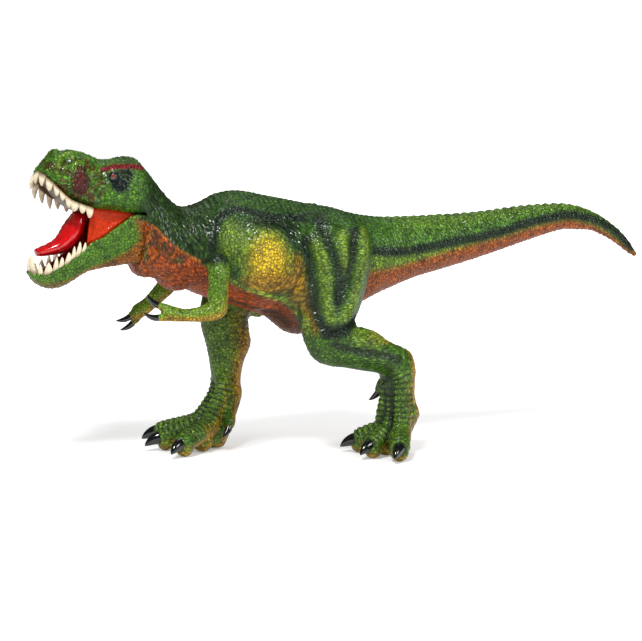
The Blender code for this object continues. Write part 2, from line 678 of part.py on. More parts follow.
def make_head():
    """The skull with the plug that is glued into the neck, and the block that holds the axle."""
    head = loft("head_shell", skull_rings(0.0), "vinyl_head_green")
    x, z = hinge_axis()
    plug_rings = [trunk_ring(place, -BODY_WALL - PLUG_GAP) for place in (0.0, NECK_PLUG_PLACE)]
    plug_rings[0][:, 0] -= HEAD_PLUG_LAP
    plug = loft("plug", plug_rings, "vinyl_head_green")
    cut(plug, slab_below("under_plug", z + EAR_RADIUS + RUN_GAP + RUN_GAP))
    unite(head, plug)
    half, rise = HINGE_BLOCK_HALF, HINGE_BLOCK_RISE
    outline = ((x - half, z - half), (x + half, z - half), (x + half, z + rise), (x - half, z + rise))
    block_side = JAW_HALF_WIDTH - JAW_WALL - RUN_GAP
    unite(head, prism("block", outline, -block_side, block_side, "vinyl_head_green"))
    cut(head, prism("axle_bore", circle((x, z), AXLE_RADIUS + FIT_GAP, LIMB_POINTS), -JAW_HALF_WIDTH,
                    JAW_HALF_WIDTH, "vinyl_head_green"))
    for side in (-1, 1):
        cut(head, ball("socket", eye_centre(side), EYE_RADIUS + FIT_GAP, "vinyl_head_green"))
    return head


def eye_centre(side):
    """An eye's centre, sunk into the side of the skull."""
    x, z = neck_top()
    return (x - EYE_X_SHARE * HEAD_LENGTH, side * EYE_SEAT_SHARE * SKULL_HALF_WIDTH,
            z + EYE_Z_SHARE * SKULL_DEPTH)


def jaw_rings():
    """The jaw's sections in front of its barrel."""
    rings = []
    for row in refine(JAW_SHARES, 1):
        rings.append(egg_ring(from_hinge(row[0], row[1]), from_hinge(row[2], row[3]),
                              row[4] * JAW_HALF_WIDTH, JAW_LEVEL_SHARE, 0.0, JAW_SQUARENESS))
    return rings


def channel_rings():
    """The inside of the jaw: its sections less the wall, opened above."""
    rings = []
    for row in refine(JAW_SHARES, 1):
        top = from_hinge(row[0], row[1])
        bottom = from_hinge(row[2], row[3])
        half = max(row[4] * JAW_HALF_WIDTH - JAW_WALL, JAW_WALL)
        high = (top[0], top[1] + JAW_DEPTH)
        low = (bottom[0], min(bottom[1] + JAW_WALL, top[1]))
        level = (top[1] - low[1]) / (high[1] - low[1]) * CHANNEL_LEVEL_SHARE
        rings.append(egg_ring(high, low, half, level, 0.0, CHANNEL_SQUARENESS))
    return rings[:-1]


def make_jaw():
    """The lower jaw: a channel with a barrel at its rear and an ear on each side."""
    barrel = swept_barrel(0.0, BARREL_STOP, BARREL_START, BARREL_INNER)
    jaw = loft("lower_jaw", barrel + jaw_rings(), "vinyl_head_green")
    unite(jaw, prism("ears", circle(hinge_axis(), EAR_RADIUS), -JAW_HALF_WIDTH, JAW_HALF_WIDTH,
                     "vinyl_head_green"))
    inside = JAW_HALF_WIDTH - JAW_WALL
    cut(jaw, loft("channel", channel_rings(), "vinyl_head_green"))
    cut(jaw, prism("throat", circle(hinge_axis(), BARREL_RADIUS - JAW_WALL), -inside, inside,
                   "vinyl_head_green"))
    cut(jaw, prism("axle_bore", circle(hinge_axis(), AXLE_RADIUS + FIT_GAP, LIMB_POINTS),
                   -JAW_HALF_WIDTH - OVERRUN, JAW_HALF_WIDTH + OVERRUN, "vinyl_head_green"))
    return jaw


def make_axle():
    """The steel pin that the jaw turns on."""
    half = JAW_HALF_WIDTH - FIT_GAP
    return prism("jaw_axle", circle(hinge_axis(), AXLE_RADIUS, LIMB_POINTS), -half, half, "axle_steel")


def tooth(root, tip, radius):
    """A pointed tooth from its root to its tip."""
    root, tip = np.array(root), np.array(tip)
    turn = np.linspace(0, 2 * math.pi, TOOTH_POINTS, endpoint=False)
    disc = np.column_stack((np.cos(turn), np.sin(turn), np.zeros(TOOTH_POINTS)))
    rings = [root + disc * radius, tip + disc * radius * TOOTH_TIP_SHARE]
    return loft("tooth", rings, "enamel_ivory")


def arch(back, front, half_width, count):
    """Points of a U in plan from one rear end round the front to the other, evenly spaced."""
    turn = np.linspace(-math.pi / 2, math.pi / 2, ARCH_SAMPLES)
    x = back + (front - back) * np.cos(turn) ** ARCH_FRONT_ROUNDNESS
    y = half_width * np.sign(np.sin(turn)) * np.abs(np.sin(turn)) ** ARCH_SIDE_ROUNDNESS
    length = np.concatenate(((0.0,), np.cumsum(np.hypot(np.diff(x), np.diff(y)))))
    even = np.linspace(0, length[-1], count)
    return np.column_stack((np.interp(even, length, x), np.interp(even, length, y)))


def edge_height(rows, x, top):
    """The height of a skull or jaw outline at x, from its sections."""
    column = 0 if top else 2
    return np.interp(-x, [-row[column] for row in rows], [row[column + 1] for row in rows])


def make_upper_teeth():
    """The ivory palate with its teeth, glued under the skull."""
    x, z = neck_top()
    rows = [(x - r[0] * HEAD_LENGTH, z + r[1] * SKULL_DEPTH, x - r[2] * HEAD_LENGTH,
             z + r[3] * SKULL_DEPTH, r[4] * SKULL_HALF_WIDTH) for r in refine(SKULL_SHARES, 2)]
    back, front = (x - share * HEAD_LENGTH for share in UPPER_ARCH_SHARES)
    rings = []
    for place in np.linspace(back, front, PALATE_STATIONS):
        low = edge_height(rows, place, top=False)
        half = np.interp(-place, [-row[2] for row in rows], [row[4] for row in rows]) * PALATE_WIDTH_SHARE
        rings.append(egg_ring((place, low + PALATE_THICKNESS * PALATE_RISE_SHARE),
                              (place, low - PALATE_THICKNESS), half, MIDDLE_LEVEL_SHARE, 0.0,
                              PALATE_SQUARENESS, LIMB_POINTS))
    palate = loft("upper_teeth", rings, "enamel_ivory")
    heights = UPPER_TOOTH_SHARES[::-1] + UPPER_TOOTH_SHARES
    half = SKULL_HALF_WIDTH * PALATE_WIDTH_SHARE ** 2
    for (px, py), share in zip(arch(back - TOOTH_RADIUS, front + TOOTH_RADIUS, half, len(heights)), heights):
        low = edge_height(rows, px, top=False)
        tip = low - PALATE_THICKNESS - share * UPPER_TOOTH_SHARE * TOOTH_HEIGHT
        unite(palate, tooth((px, py, low), (px, py, tip), TOOTH_RADIUS))
    cut(palate, loft("skull", skull_rings(FIT_GAP), "enamel_ivory"))
    return palate


def make_lower_teeth():
    """The ivory tooth bar that is glued inside the jaw's rim."""
    rows = [from_hinge(r[0], r[1]) + from_hinge(r[2], r[3]) for r in refine(JAW_SHARES, 2)]
    back, front = (from_hinge(share, 0)[0] for share in LOWER_ARCH_SHARES)
    half = JAW_HALF_WIDTH - JAW_WALL - TOOTH_RADIUS - FIT_GAP
    path = arch(back, front + JAW_WALL, half, TOOTH_BAR_STATIONS)
    rings = []
    for i, (px, py) in enumerate(path):
        ahead = path[min(i + 1, len(path) - 1)] - path[max(i - 1, 0)]
        ahead = ahead / np.linalg.norm(ahead)
        height = edge_height(rows, px, top=True)
        turn = np.linspace(0, 2 * math.pi, TOOTH_BAR_POINTS, endpoint=False)
        out = TOOTH_RADIUS * np.cos(turn)
        rings.append(np.column_stack((px - ahead[1] * out, py + ahead[0] * out,
                                      height + TOOTH_RADIUS * np.sin(turn))))
    bar = loft("lower_teeth", rings, "enamel_ivory")
    heights = LOWER_TOOTH_SHARES[::-1] + LOWER_TOOTH_SHARES
    for (px, py), share in zip(arch(back - TOOTH_RADIUS, front + JAW_WALL, half, len(heights)), heights):
        height = edge_height(rows, px, top=True)
        root = height - TOOTH_RADIUS * LOWER_TOOTH_SINK_SHARE
        unite(bar, tooth((px, py, root), (px, py, height + share * TOOTH_HEIGHT),
                         TOOTH_RADIUS * LOWER_TOOTH_WIDTH_SHARE))
    return bar


def make_mouth_floor():
    """The red floor of the mouth, glued into the jaw's channel."""
    rings = []
    half = JAW_HALF_WIDTH - JAW_WALL
    for row in FLOOR_SHARES:
        top, bottom = from_hinge(row[0], row[1]), from_hinge(row[0], row[2])
        rings.append(egg_ring(top, bottom, row[3] * half, FLOOR_LEVEL_SHARE, 0.0, FLOOR_SQUARENESS,
                              LIMB_POINTS))
    return loft("mouth_floor", rings, "gloss_mouth_red")


def make_tongue():
    """The tongue, which rises from the mouth floor to its root behind the palate."""
    rows = refine(TONGUE_SHARES, 1)
    line = np.array([from_hinge(row[0], row[1]) for row in rows])
    slope = np.gradient(line, axis=0)
    rings = []
    for place, ahead, row in zip(line, slope, rows):
        up = np.array((ahead[1], -ahead[0])) / np.linalg.norm(ahead)
        half = up * row[3] * TONGUE_THICKNESS / 2
        rings.append(egg_ring(place + half, place - half, row[2] * TONGUE_HALF_WIDTH, MIDDLE_LEVEL_SHARE,
                              points=LIMB_POINTS))
    return loft("tongue", rings, "gloss_tongue_red")


def make_lining():
    """The dark wall at the back of the mouth, glued under the skull in front of the axle."""
    x, z = hinge_axis()
    front = x - HINGE_BLOCK_HALF - FIT_GAP - LINING_THICKNESS
    back = front + LINING_THICKNESS
    low = z - BARREL_RADIUS * LINING_DROP_SHARE
    high = z + EAR_RADIUS * LINING_RISE_SHARE
    half = (JAW_HALF_WIDTH - JAW_WALL) * LINING_WIDTH_SHARE
    lining = prism("throat_lining", ((front, low), (back, low), (back, high), (front, high)), -half, half,
                   "gloss_mouth_red")
    cut(lining, loft("skull", skull_rings(FIT_GAP), "gloss_mouth_red"))
    return lining


def make_cheek(name, side):
    """One orange web of the mouth corner: glued under the skull, it dips inside the jaw."""
    outside = JAW_HALF_WIDTH - JAW_WALL - CHEEK_GAP
    inside = outside - CHEEK_THICKNESS
    low, high = sorted((side * inside, side * outside))
    cheek = prism(name, [from_hinge(*share) for share in CHEEK_SHARES], low, high, "vinyl_cheek_orange")
    cut(cheek, loft("skull", skull_rings(FIT_GAP), "vinyl_cheek_orange"))
    return cheek


def leg_point(x_share, y_share, z_share, side):
    """A point of a leg, given from the hip in x, the midplane in y and the floor in z."""
    return (HIP_X + x_share * HIP_HEIGHT, side * y_share * LEG_SPREAD, z_share * HIP_HEIGHT)


def toe_axes(heading, splay, side):
    """The way a toe points in plan, and the way across it."""
    turn = math.radians(heading + side * splay)
    return np.array((-math.cos(turn), -math.sin(turn), 0.0)), np.array((math.sin(turn), -math.cos(turn), 0.0))


def toe_rings(start, heading, splay, length, side, grow):
    """A toe's sections, flat on the floor, from inside the foot to its rounded end."""
    ahead, across = toe_axes(heading, splay, side)
    turn = np.linspace(0, 2 * math.pi, TOE_POINTS, endpoint=False)
    rings = []
    for row in TOE_SHARES:
        centre = start + ahead * (row[0] * length + grow * (row is TOE_SHARES[-1]))
        centre = centre + np.array((0, 0, row[1] * TOE_HALF_WIDTH))
        wide, high = row[2] * TOE_HALF_WIDTH + grow, row[3] * TOE_HALF_WIDTH + grow
        rings.append(centre + np.outer(np.cos(turn), across) * wide
                     + np.outer(np.sin(turn), (0, 0, 1)) * high)
    return rings


def claw_rings(base, ahead, down, length, radius):
    """A claw's sections: it starts inside its toe and curves down to a point."""
    ahead, down = np.array(ahead), np.array(down)
    across = np.cross(ahead, down)
    turn = np.linspace(0, 2 * math.pi, CLAW_POINTS, endpoint=False)
    rings = []
    for row in CLAW_SHARES:
        centre = base + ahead * row[0] * length + down * row[1] * length
        lean = down - ahead * row[1]
        lean = lean / np.linalg.norm(lean)
        rings.append(centre + (np.outer(np.cos(turn), across) * CLAW_FLATNESS + np.outer(np.sin(turn), lean))
                     * row[2] * radius)
    return rings


def spur_rings(stations, side, grow):
    """The small rear toe's sections."""
    line = np.array([leg_point(*station, side) for station in stations])
    turn = np.linspace(0, 2 * math.pi, TOE_POINTS, endpoint=False)
    rings = []
    for place, ahead, share in zip(line, np.gradient(line, axis=0), SPUR_RADIUS_SHARES):
        ahead = ahead / np.linalg.norm(ahead)
        across = np.cross(ahead, SPUR_SIDEWAYS_SHARES)
        across = across / np.linalg.norm(across)
        up = np.cross(across, ahead)
        radius = share * ANKLE_HALF_WIDTH + grow
        rings.append(place + ahead * grow * (share is SPUR_RADIUS_SHARES[-1])
                     + (np.outer(np.cos(turn), across) + np.outer(np.sin(turn), up)) * radius)
    return rings


def make_leg(name, side, stations, heading, toes, spur):
    """One leg with its plug, foot, three toes and rear toe, and the four claws let into them."""
    rings = [flat_ring(leg_point(*row[:3], side), math.radians(row[3]), row[4] * ANKLE_HALF_WIDTH,
                       row[5] * ANKLE_HALF_WIDTH) for row in refine(stations, 1)]
    leg = loft(name, rings, "vinyl_leg_green")
    sole = stations[-3]
    start = np.array(leg_point(sole[0], sole[1], 0.0, side))
    claws = []
    for toe_name, splay, share in toes:
        ahead, _ = toe_axes(heading, splay, side)
        length = share * TOE_LENGTH
        root = start + ahead * TOE_STARTS_SHARE * length
        tip = root + ahead * length + np.array((0, 0, TOE_SHARES[-1][1] * TOE_HALF_WIDTH))
        base = TOE_CLAW_BASE_SHARE * TOE_HALF_WIDTH
        claw = loft(name + "_claw_" + toe_name,
                    claw_rings(tip, ahead, (0, 0, -1), TOE_CLAW_LENGTH, base), "gloss_claw_black")
        cut(claw, loft("toe", toe_rings(root, heading, splay, length, side, FIT_GAP), "gloss_claw_black"))
        claws.append(claw)
        unite(leg, loft("toe", toe_rings(root, heading, splay, length, side, 0.0), "vinyl_leg_green"))
    tip, before = (np.array(leg_point(*spur[i], side)) for i in (-1, -2))
    ahead = (tip - before) / np.linalg.norm(tip - before)
    down = np.cross(ahead, (0, -1, 0))
    down = down / np.linalg.norm(down)
    claw = loft(name + "_claw_rear", claw_rings(tip, ahead, down, TOE_CLAW_LENGTH * SPUR_CLAW_LENGTH_SHARE,
                                                SPUR_CLAW_BASE_SHARE * ANKLE_HALF_WIDTH),
                "gloss_claw_black")
    cut(claw, loft("spur", spur_rings(spur, side, FIT_GAP), "gloss_claw_black"))
    claws.append(claw)
    unite(leg, loft("spur", spur_rings(spur, side, 0.0), "vinyl_leg_green"))
    cut(leg, slab_below("floor", 0.0))
    cut(leg, loft("trunk", trunk_rings(FIT_GAP), "vinyl_leg_green"))
    plug_end = HIP_WALL_Y - HIP_PLUG_DEPTH
    low, high = sorted((side * plug_end, side * (BODY_HALF_WIDTH - BODY_WALL)))
    unite(leg, prism("plug", circle((HIP_X, HIP_HEIGHT), HIP_PLUG_RADIUS), low, high, "vinyl_leg_green"))
    return [leg] + claws


def arm_point(x_share, y_share, z_share, side):
    """A point of an arm, given from the shoulder in x and z and from its seat in y."""
    x, z = shoulder()
    return (x + x_share * ARM_LENGTH, side * (SHOULDER_SEAT + y_share * ARM_HALF_WIDTH),
            z + z_share * ARM_LENGTH)


def finger_rings(root, ahead, grow):
    """A finger's sections from inside the hand to its rounded end."""
    across = np.cross(ahead, (0, 1, 0))
    across = across / np.linalg.norm(across)
    up = np.cross(across, ahead)
    turn = np.linspace(0, 2 * math.pi, TOE_POINTS, endpoint=False)
    rings = []
    for share, thick in FINGER_SECTION_SHARES:
        radius = thick * FINGER_RADIUS + grow
        rings.append(root + ahead * (share * FINGER_LENGTH + grow * (share == 1.0))
                     + (np.outer(np.cos(turn), across) + np.outer(np.sin(turn), up)) * radius)
    return rings


def make_arm(name, side, stations, fingers):
    """One arm with its snap-in stem, two fingers and the two claws let into them."""
    rings = [flat_ring(arm_point(*row[:3], side), math.radians(row[3]), row[4] * ARM_HALF_WIDTH,
                       row[5] * ARM_HALF_WIDTH, ARM_POINTS) for row in refine(stations, 1)]
    arm = loft(name, rings, "vinyl_arm_green")
    seat = side * (SHOULDER_SEAT + FIT_GAP)
    middle = side * (SHOULDER_SEAT + ARM_HALF_WIDTH)
    unite(arm, prism("disc", circle(shoulder(), SHOULDER_RADIUS), *sorted((seat, middle)),
                     "vinyl_arm_green"))
    inner = side * (SHOULDER_SEAT - FLANGE_DEPTH - STEM_FLANGE)
    flange = side * (SHOULDER_SEAT - FLANGE_DEPTH)
    unite(arm, prism("stem", circle(shoulder(), STEM_RADIUS), *sorted((inner, middle)), "vinyl_arm_green"))
    unite(arm, prism("flange", circle(shoulder(), STEM_RADIUS + STEM_FLANGE), *sorted((inner, flange)),
                     "vinyl_arm_green"))
    claws = []
    for number, (x, y, z, pitch, yaw) in enumerate(fingers, 1):
        pitch, yaw = math.radians(pitch), math.radians(yaw) * side
        root = np.array(arm_point(x, y, z, side))
        ahead = np.array((-math.cos(pitch) * math.cos(yaw), math.sin(yaw), math.sin(pitch)))
        ahead = ahead / np.linalg.norm(ahead)
        down = np.cross(ahead, (0, -1, 0))
        down = down / np.linalg.norm(down)
        claw = loft("%s_claw_%d" % (name, number),
                    claw_rings(root + ahead * FINGER_LENGTH, ahead, down, FINGER_CLAW_LENGTH,
                               FINGER_CLAW_BASE_SHARE * FINGER_RADIUS), "gloss_claw_black")
        cut(claw, loft("finger", finger_rings(root, ahead, FIT_GAP), "gloss_claw_black"))
        claws.append(claw)
        unite(arm, loft("finger", finger_rings(root, ahead, 0.0), "vinyl_arm_green"))
    return [arm] + claws


def set_origin(thing, point):
    """Put an object's origin on its joint's axis without moving its surface."""
    thing.data.transform(Matrix.Translation(-Vector(point)))
    thing.location = point


def build():
    """Model every piece, put the moving ones on their axes and centre the figure on its feet."""
    for old in list(bpy.data.objects):
        bpy.data.objects.remove(old)
    x, z = hinge_axis()
    jaw_pieces = [make_jaw(), make_lower_teeth(), make_mouth_floor(), make_tongue()]
    left_arm = make_arm("arm_left", -1, LEFT_ARM_SHARES, LEFT_FINGER_SHARES)
    right_arm = make_arm("arm_right", 1, RIGHT_ARM_SHARES, RIGHT_FINGER_SHARES)
    pieces = [make_trunk(), make_tail(), make_head(), make_axle(), make_upper_teeth(), make_lining(),
              make_cheek("cheek_left", -1), make_cheek("cheek_right", 1)]
    for side, name in ((-1, "eye_left"), (1, "eye_right")):
        pieces.append(ball(name, eye_centre(side), EYE_RADIUS, "gloss_eye_black"))
    pieces += make_leg("leg_left", -1, LEFT_LEG_SHARES, LEFT_FOOT_HEADING, LEFT_TOE_SHARES, LEFT_SPUR_SHARES)
    pieces += make_leg("leg_right", 1, RIGHT_LEG_SHARES, RIGHT_FOOT_HEADING, RIGHT_TOE_SHARES,
                       RIGHT_SPUR_SHARES)
    moving = jaw_pieces + left_arm + right_arm
    corners = np.vstack([np.array([v.co for v in piece.data.vertices]) for piece in pieces + moving])
    low, high = corners.min(axis=0), corners.max(axis=0)
    for piece in jaw_pieces:
        set_origin(piece, (x, 0.0, z))
    for side, arm in ((-1, left_arm), (1, right_arm)):
        for piece in arm:
            set_origin(piece, (shoulder()[0], side * SHOULDER_SEAT, shoulder()[1]))
    root = bpy.data.objects.new("figure", None)
    bpy.context.scene.collection.objects.link(root)
    root.location = (-(low[0] + high[0]) / 2, -(low[1] + high[1]) / 2, -low[2])
    for piece in pieces + moving:
        piece.parent = root
        piece.data.shade_smooth()
        piece.data.set_sharp_from_angle(angle=SHARP_EDGE)


build()
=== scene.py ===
"""Looks of a soft vinyl tyrannosaur toy: sculpted skin, airbrushed paint, lacquered mouth and
claws.

Lengths in the tables are millimetres in the figure's own frame: it faces -X, its left side is
-Y, its midplane is Y = 0, its jaw hinge is at HINGE and it stands on FLOOR. Finished points
are turned into the frame's metres.
"""

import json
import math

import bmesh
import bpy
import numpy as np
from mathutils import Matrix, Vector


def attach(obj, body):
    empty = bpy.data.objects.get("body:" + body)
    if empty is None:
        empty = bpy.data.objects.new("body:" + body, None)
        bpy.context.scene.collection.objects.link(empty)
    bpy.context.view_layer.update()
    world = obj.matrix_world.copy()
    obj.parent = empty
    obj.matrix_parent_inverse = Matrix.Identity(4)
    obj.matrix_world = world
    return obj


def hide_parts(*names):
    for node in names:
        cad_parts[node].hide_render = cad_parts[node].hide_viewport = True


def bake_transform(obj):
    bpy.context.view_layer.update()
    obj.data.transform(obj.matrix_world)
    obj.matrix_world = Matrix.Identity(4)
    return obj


bl_info = {
    "name": "Vinyl tyrannosaur",
    "version": (1, 0, 0),
    "blender": (4, 5, 0),
    "location": "3D View > Sidebar > Figure",
    "description": "Builds the skin, teeth, tongue, claws and stage of a soft vinyl toy dinosaur",
    "category": "Object",
}

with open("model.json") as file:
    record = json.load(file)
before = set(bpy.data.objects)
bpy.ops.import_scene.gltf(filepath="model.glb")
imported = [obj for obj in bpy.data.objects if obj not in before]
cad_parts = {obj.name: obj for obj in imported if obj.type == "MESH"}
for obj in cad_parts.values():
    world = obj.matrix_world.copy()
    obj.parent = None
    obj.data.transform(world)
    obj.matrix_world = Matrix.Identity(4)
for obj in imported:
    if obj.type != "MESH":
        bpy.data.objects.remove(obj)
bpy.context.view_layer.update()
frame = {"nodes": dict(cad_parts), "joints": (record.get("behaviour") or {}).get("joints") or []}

MM = 0.001
HINGE = np.array((-97.5, 0.0, 125.0))
ORIGIN = next(np.array(joint["pos_m"]) - HINGE * MM for joint in frame["joints"]
              if joint["name"] == "jaw_hinge")
FLOOR = 2.0

# Fineness of the fused skins, in millimetres
BODY_VOXEL = 0.56
FILLET_VOXEL = 1.8
ARM_VOXEL = 0.40
JAW_VOXEL = 0.5
# Points of the smooth curves that strokes and brushes follow
CURVE_POINTS = 24

# Trunk and tail sections from the neck rim to the tail tip: top x and z, bottom x and z, half
# width, and the widest level as a share of the depth
SPINE_SECTIONS = (
    (-98.5, 156.0, -102.5, 99.5, 18.9, 0.42),
    (-93.0, 149.5, -95.0, 98.0, 18.9, 0.42),
    (-85.5, 140.0, -86.0, 95.5, 19.5, 0.42),
    (-77.9, 134.5, -77.5, 92.0, 21.1, 0.43),
    (-68.0, 136.5, -68.5, 88.0, 23.4, 0.44),
    (-58.4, 141.0, -58.0, 84.5, 26.6, 0.45),
    (-46.9, 142.5, -46.0, 80.5, 30.1, 0.47),
    (-33.0, 140.0, -32.0, 75.5, 32.0, 0.52),
    (-20.0, 137.5, -20.0, 66.5, 31.0, 0.57),
    (-7.4, 135.0, -9.0, 66.0, 26.9, 0.58),
    (5.0, 133.0, 5.0, 72.5, 24.0, 0.54),
    (18.0, 129.5, 18.0, 79.5, 21.4, 0.50),
    (33.0, 127.5, 33.0, 86.5, 19.5, 0.48),
    (52.0, 127.5, 52.0, 93.5, 17.0, 0.50),
    (66.1, 127.8, 66.1, 97.2, 15.6, 0.50),
    (82.6, 128.5, 82.6, 101.3, 13.6, 0.50),
    (99.9, 129.9, 99.9, 106.1, 11.6, 0.50),
    (116.9, 131.9, 116.9, 111.2, 9.9, 0.50),
    (133.1, 132.9, 132.4, 115.6, 8.2, 0.50),
    (145.8, 132.9, 144.4, 118.3, 6.8, 0.50),
    (157.3, 130.6, 154.9, 118.0, 5.6, 0.50),
    (169.0, 125.5, 164.0, 117.0, 4.4, 0.50),
    (181.3, 117.0, 175.5, 111.5, 3.2, 0.50),
    (190.2, 107.1, 185.8, 104.7, 2.0, 0.50),
    (192.6, 102.9, 190.9, 101.7, 0.9, 0.50),
)
NECK_HOLLOW_SECTIONS = SPINE_SECTIONS[:4]
NECK_WALL = 2.8

# Skull sections from the neck to the snout, as above
SKULL_SECTIONS = (
    (-91.0, 146.0, -93.0, 133.0, 14.0, 0.40),
    (-98.9, 156.0, -100.5, 129.6, 18.9, 0.34),
    (-103.0, 160.0, -105.0, 129.8, 19.5, 0.32),
    (-108.0, 160.5, -111.0, 131.3, 19.5, 0.28),
    (-113.5, 159.5, -118.0, 132.5, 18.5, 0.24),
    (-120.0, 159.0, -125.0, 133.3, 17.6, 0.20),
    (-127.0, 161.8, -131.5, 135.5, 16.8, 0.18),
    (-134.5, 164.0, -138.5, 138.5, 16.2, 0.18),
    (-140.0, 163.5, -143.5, 143.0, 14.8, 0.18),
    (-144.0, 164.3, -148.0, 147.6, 13.0, 0.20),
    (-147.5, 160.0, -151.5, 150.4, 10.6, 0.30),
    (-150.2, 156.6, -153.6, 152.4, 6.0, 0.40),
)

# Jaw sections from the hinge to the chin: rim x and z, keel x and z, half width
JAW_SECTIONS = (
    (-95.5, 127.0, -96.5, 104.4, 15.3),
    (-100.0, 130.4, -102.5, 104.6, 15.4),
    (-105.5, 130.6, -108.5, 105.0, 15.5),
    (-110.5, 127.6, -114.0, 104.2, 15.5),
    (-116.5, 123.4, -119.0, 103.7, 15.5),
    (-122.0, 119.6, -123.5, 102.9, 15.3),
    (-127.5, 117.0, -128.5, 101.7, 15.0),
    (-133.0, 112.5, -133.0, 99.3, 15.0),
    (-139.5, 108.1, -138.5, 95.9, 14.4),
    (-145.5, 104.2, -144.5, 93.8, 13.2),
    (-150.8, 101.9, -150.3, 94.3, 11.0),
    (-155.0, 101.9, -154.8, 97.0, 7.8),
    (-157.6, 102.9, -157.4, 100.8, 4.0),
)
JAW_WALL = 2.2

# Leg stations from the hip to the sole: x, y away from the midplane, z, tilt of the oval in
# degrees, its half length and half thickness
LEFT_LEG = (
    (-3.0, 24.0, 131.5, 0, 8.0, 5.0),
    (-3.0, 26.7, 126.0, 0, 16.5, 10.5),
    (-4.0, 27.9, 113.0, 0, 22.0, 13.5),
    (-5.0, 28.9, 98.0, 0, 20.5, 13.5),
    (-6.0, 29.9, 84.0, 3, 17.5, 13.0),
    (-7.2, 30.9, 73.0, 12, 15.0, 12.0),
    (-3.8, 31.3, 63.0, 39, 13.5, 11.5),
    (7.4, 30.6, 60.5, 63, 11.8, 10.8),
    (16.2, 29.9, 57.5, 65, 10.5, 10.0),
    (25.8, 29.6, 53.8, 67, 9.0, 9.0),
    (32.5, 28.9, 48.0, 42, 11.0, 8.5),
    (33.5, 27.9, 38.0, 4, 8.9, 8.3),
    (34.2, 27.2, 30.0, 0, 9.2, 8.6),
    (35.6, 25.5, 23.0, 0, 10.6, 9.6),
    (33.5, 22.8, 13.4, 0, 9.6, 9.6),
    (33.5, 22.1, 6.0, 0, 8.6, 9.2),
    (33.5, 22.1, 3.0, 0, 7.0, 7.5),
)
RIGHT_LEG = (
    (-3.0, 24.5, 134.0, 0, 9.0, 6.0),
    (-4.0, 26.9, 127.0, 0, 17.0, 11.0),
    (-8.0, 27.9, 117.0, -15, 21.0, 13.5),
    (-17.0, 28.9, 107.0, -35, 20.0, 13.5),
    (-28.0, 28.9, 97.5, -48, 18.0, 13.0),
    (-36.5, 28.6, 85.5, -46, 18.0, 13.0),
    (-45.0, 27.9, 78.0, -22, 14.5, 12.0),
    (-45.6, 27.5, 68.0, 0, 13.2, 11.5),
    (-43.9, 26.9, 58.0, 0, 12.4, 10.5),
    (-45.2, 26.2, 48.0, 0, 9.4, 9.0),
    (-45.7, 25.5, 38.0, 0, 8.0, 8.2),
    (-46.0, 25.2, 31.0, 0, 9.0, 8.4),
    (-48.9, 24.5, 22.6, 0, 9.2, 9.0),
    (-52.0, 24.1, 13.4, 0, 8.6, 9.6),
    (-54.0, 23.5, 6.0, 0, 7.2, 9.0),
    (-54.0, 23.5, 3.0, 0, 5.6, 7.0),
)
LEFT_SPUR = ((33.5, 24.0, 45.5), (31.8, 20.4, 42.0), (29.4, 16.2, 38.4), (28.0, 14.0, 33.8))
RIGHT_SPUR = ((-46.4, 24.0, 29.0), (-46.6, 19.7, 22.6), (-47.3, 13.9, 18.7), (-48.3, 11.9, 14.7))
SPUR_RADII = (4.4, 4.0, 3.4, 2.6)

# Feet: heading in plan in degrees from -X towards -Y; each toe's name, splay, length, and side
# of the foot, -1 to the outside
LEFT_HEADING = 27.0
RIGHT_HEADING = 0.0
LEFT_TOES = (("outer", -40.0, 24.5, -1.0), ("middle", 0.0, 20.8, 0.0), ("inner", 50.0, 20.8, 1.0))
RIGHT_TOES = (("outer", -33.0, 32.0, -1.0), ("middle", 0.0, 30.0, 0.0), ("inner", 39.0, 33.2, 1.0))
TOE_ROOT_SHARE = 0.18
# Toe ridge over the instep: height over the floor, distance ahead of the shank and to its
# side, and radius
INSTEP = ((50.0, 2.0, 2.2, 5.6), (41.0, 2.4, 3.2, 5.2), (31.0, 3.4, 4.4, 4.6),
          (21.5, 5.2, 5.4, 5.2))
# Toe on the floor: share of its length, height of its middle, radius
TOE_STATIONS = ((0.22, 13.4, 5.9), (0.48, 10.6, 5.8), (0.72, 8.8, 5.6), (0.90, 7.4, 5.2),
                (1.00, 6.9, 3.6))
# Pads under a toe: share of its length, height, radius
PADS = ((0.36, 5.9, 5.8), (0.86, 5.0, 5.0))

# Toe claws: how far their roots lie inside the toe's end and over the floor, length and radius
CLAW_INSET = 0.8
CLAW_LEVEL = 7.4
TOE_CLAW = (8.2, 3.7)
SPUR_CLAW = (6.4, 2.1)
FINGER_CLAW = (6.2, 1.7)

FEET = ((LEFT_LEG, -1, LEFT_HEADING, LEFT_TOES, LEFT_SPUR),
        (RIGHT_LEG, 1, RIGHT_HEADING, RIGHT_TOES, RIGHT_SPUR))

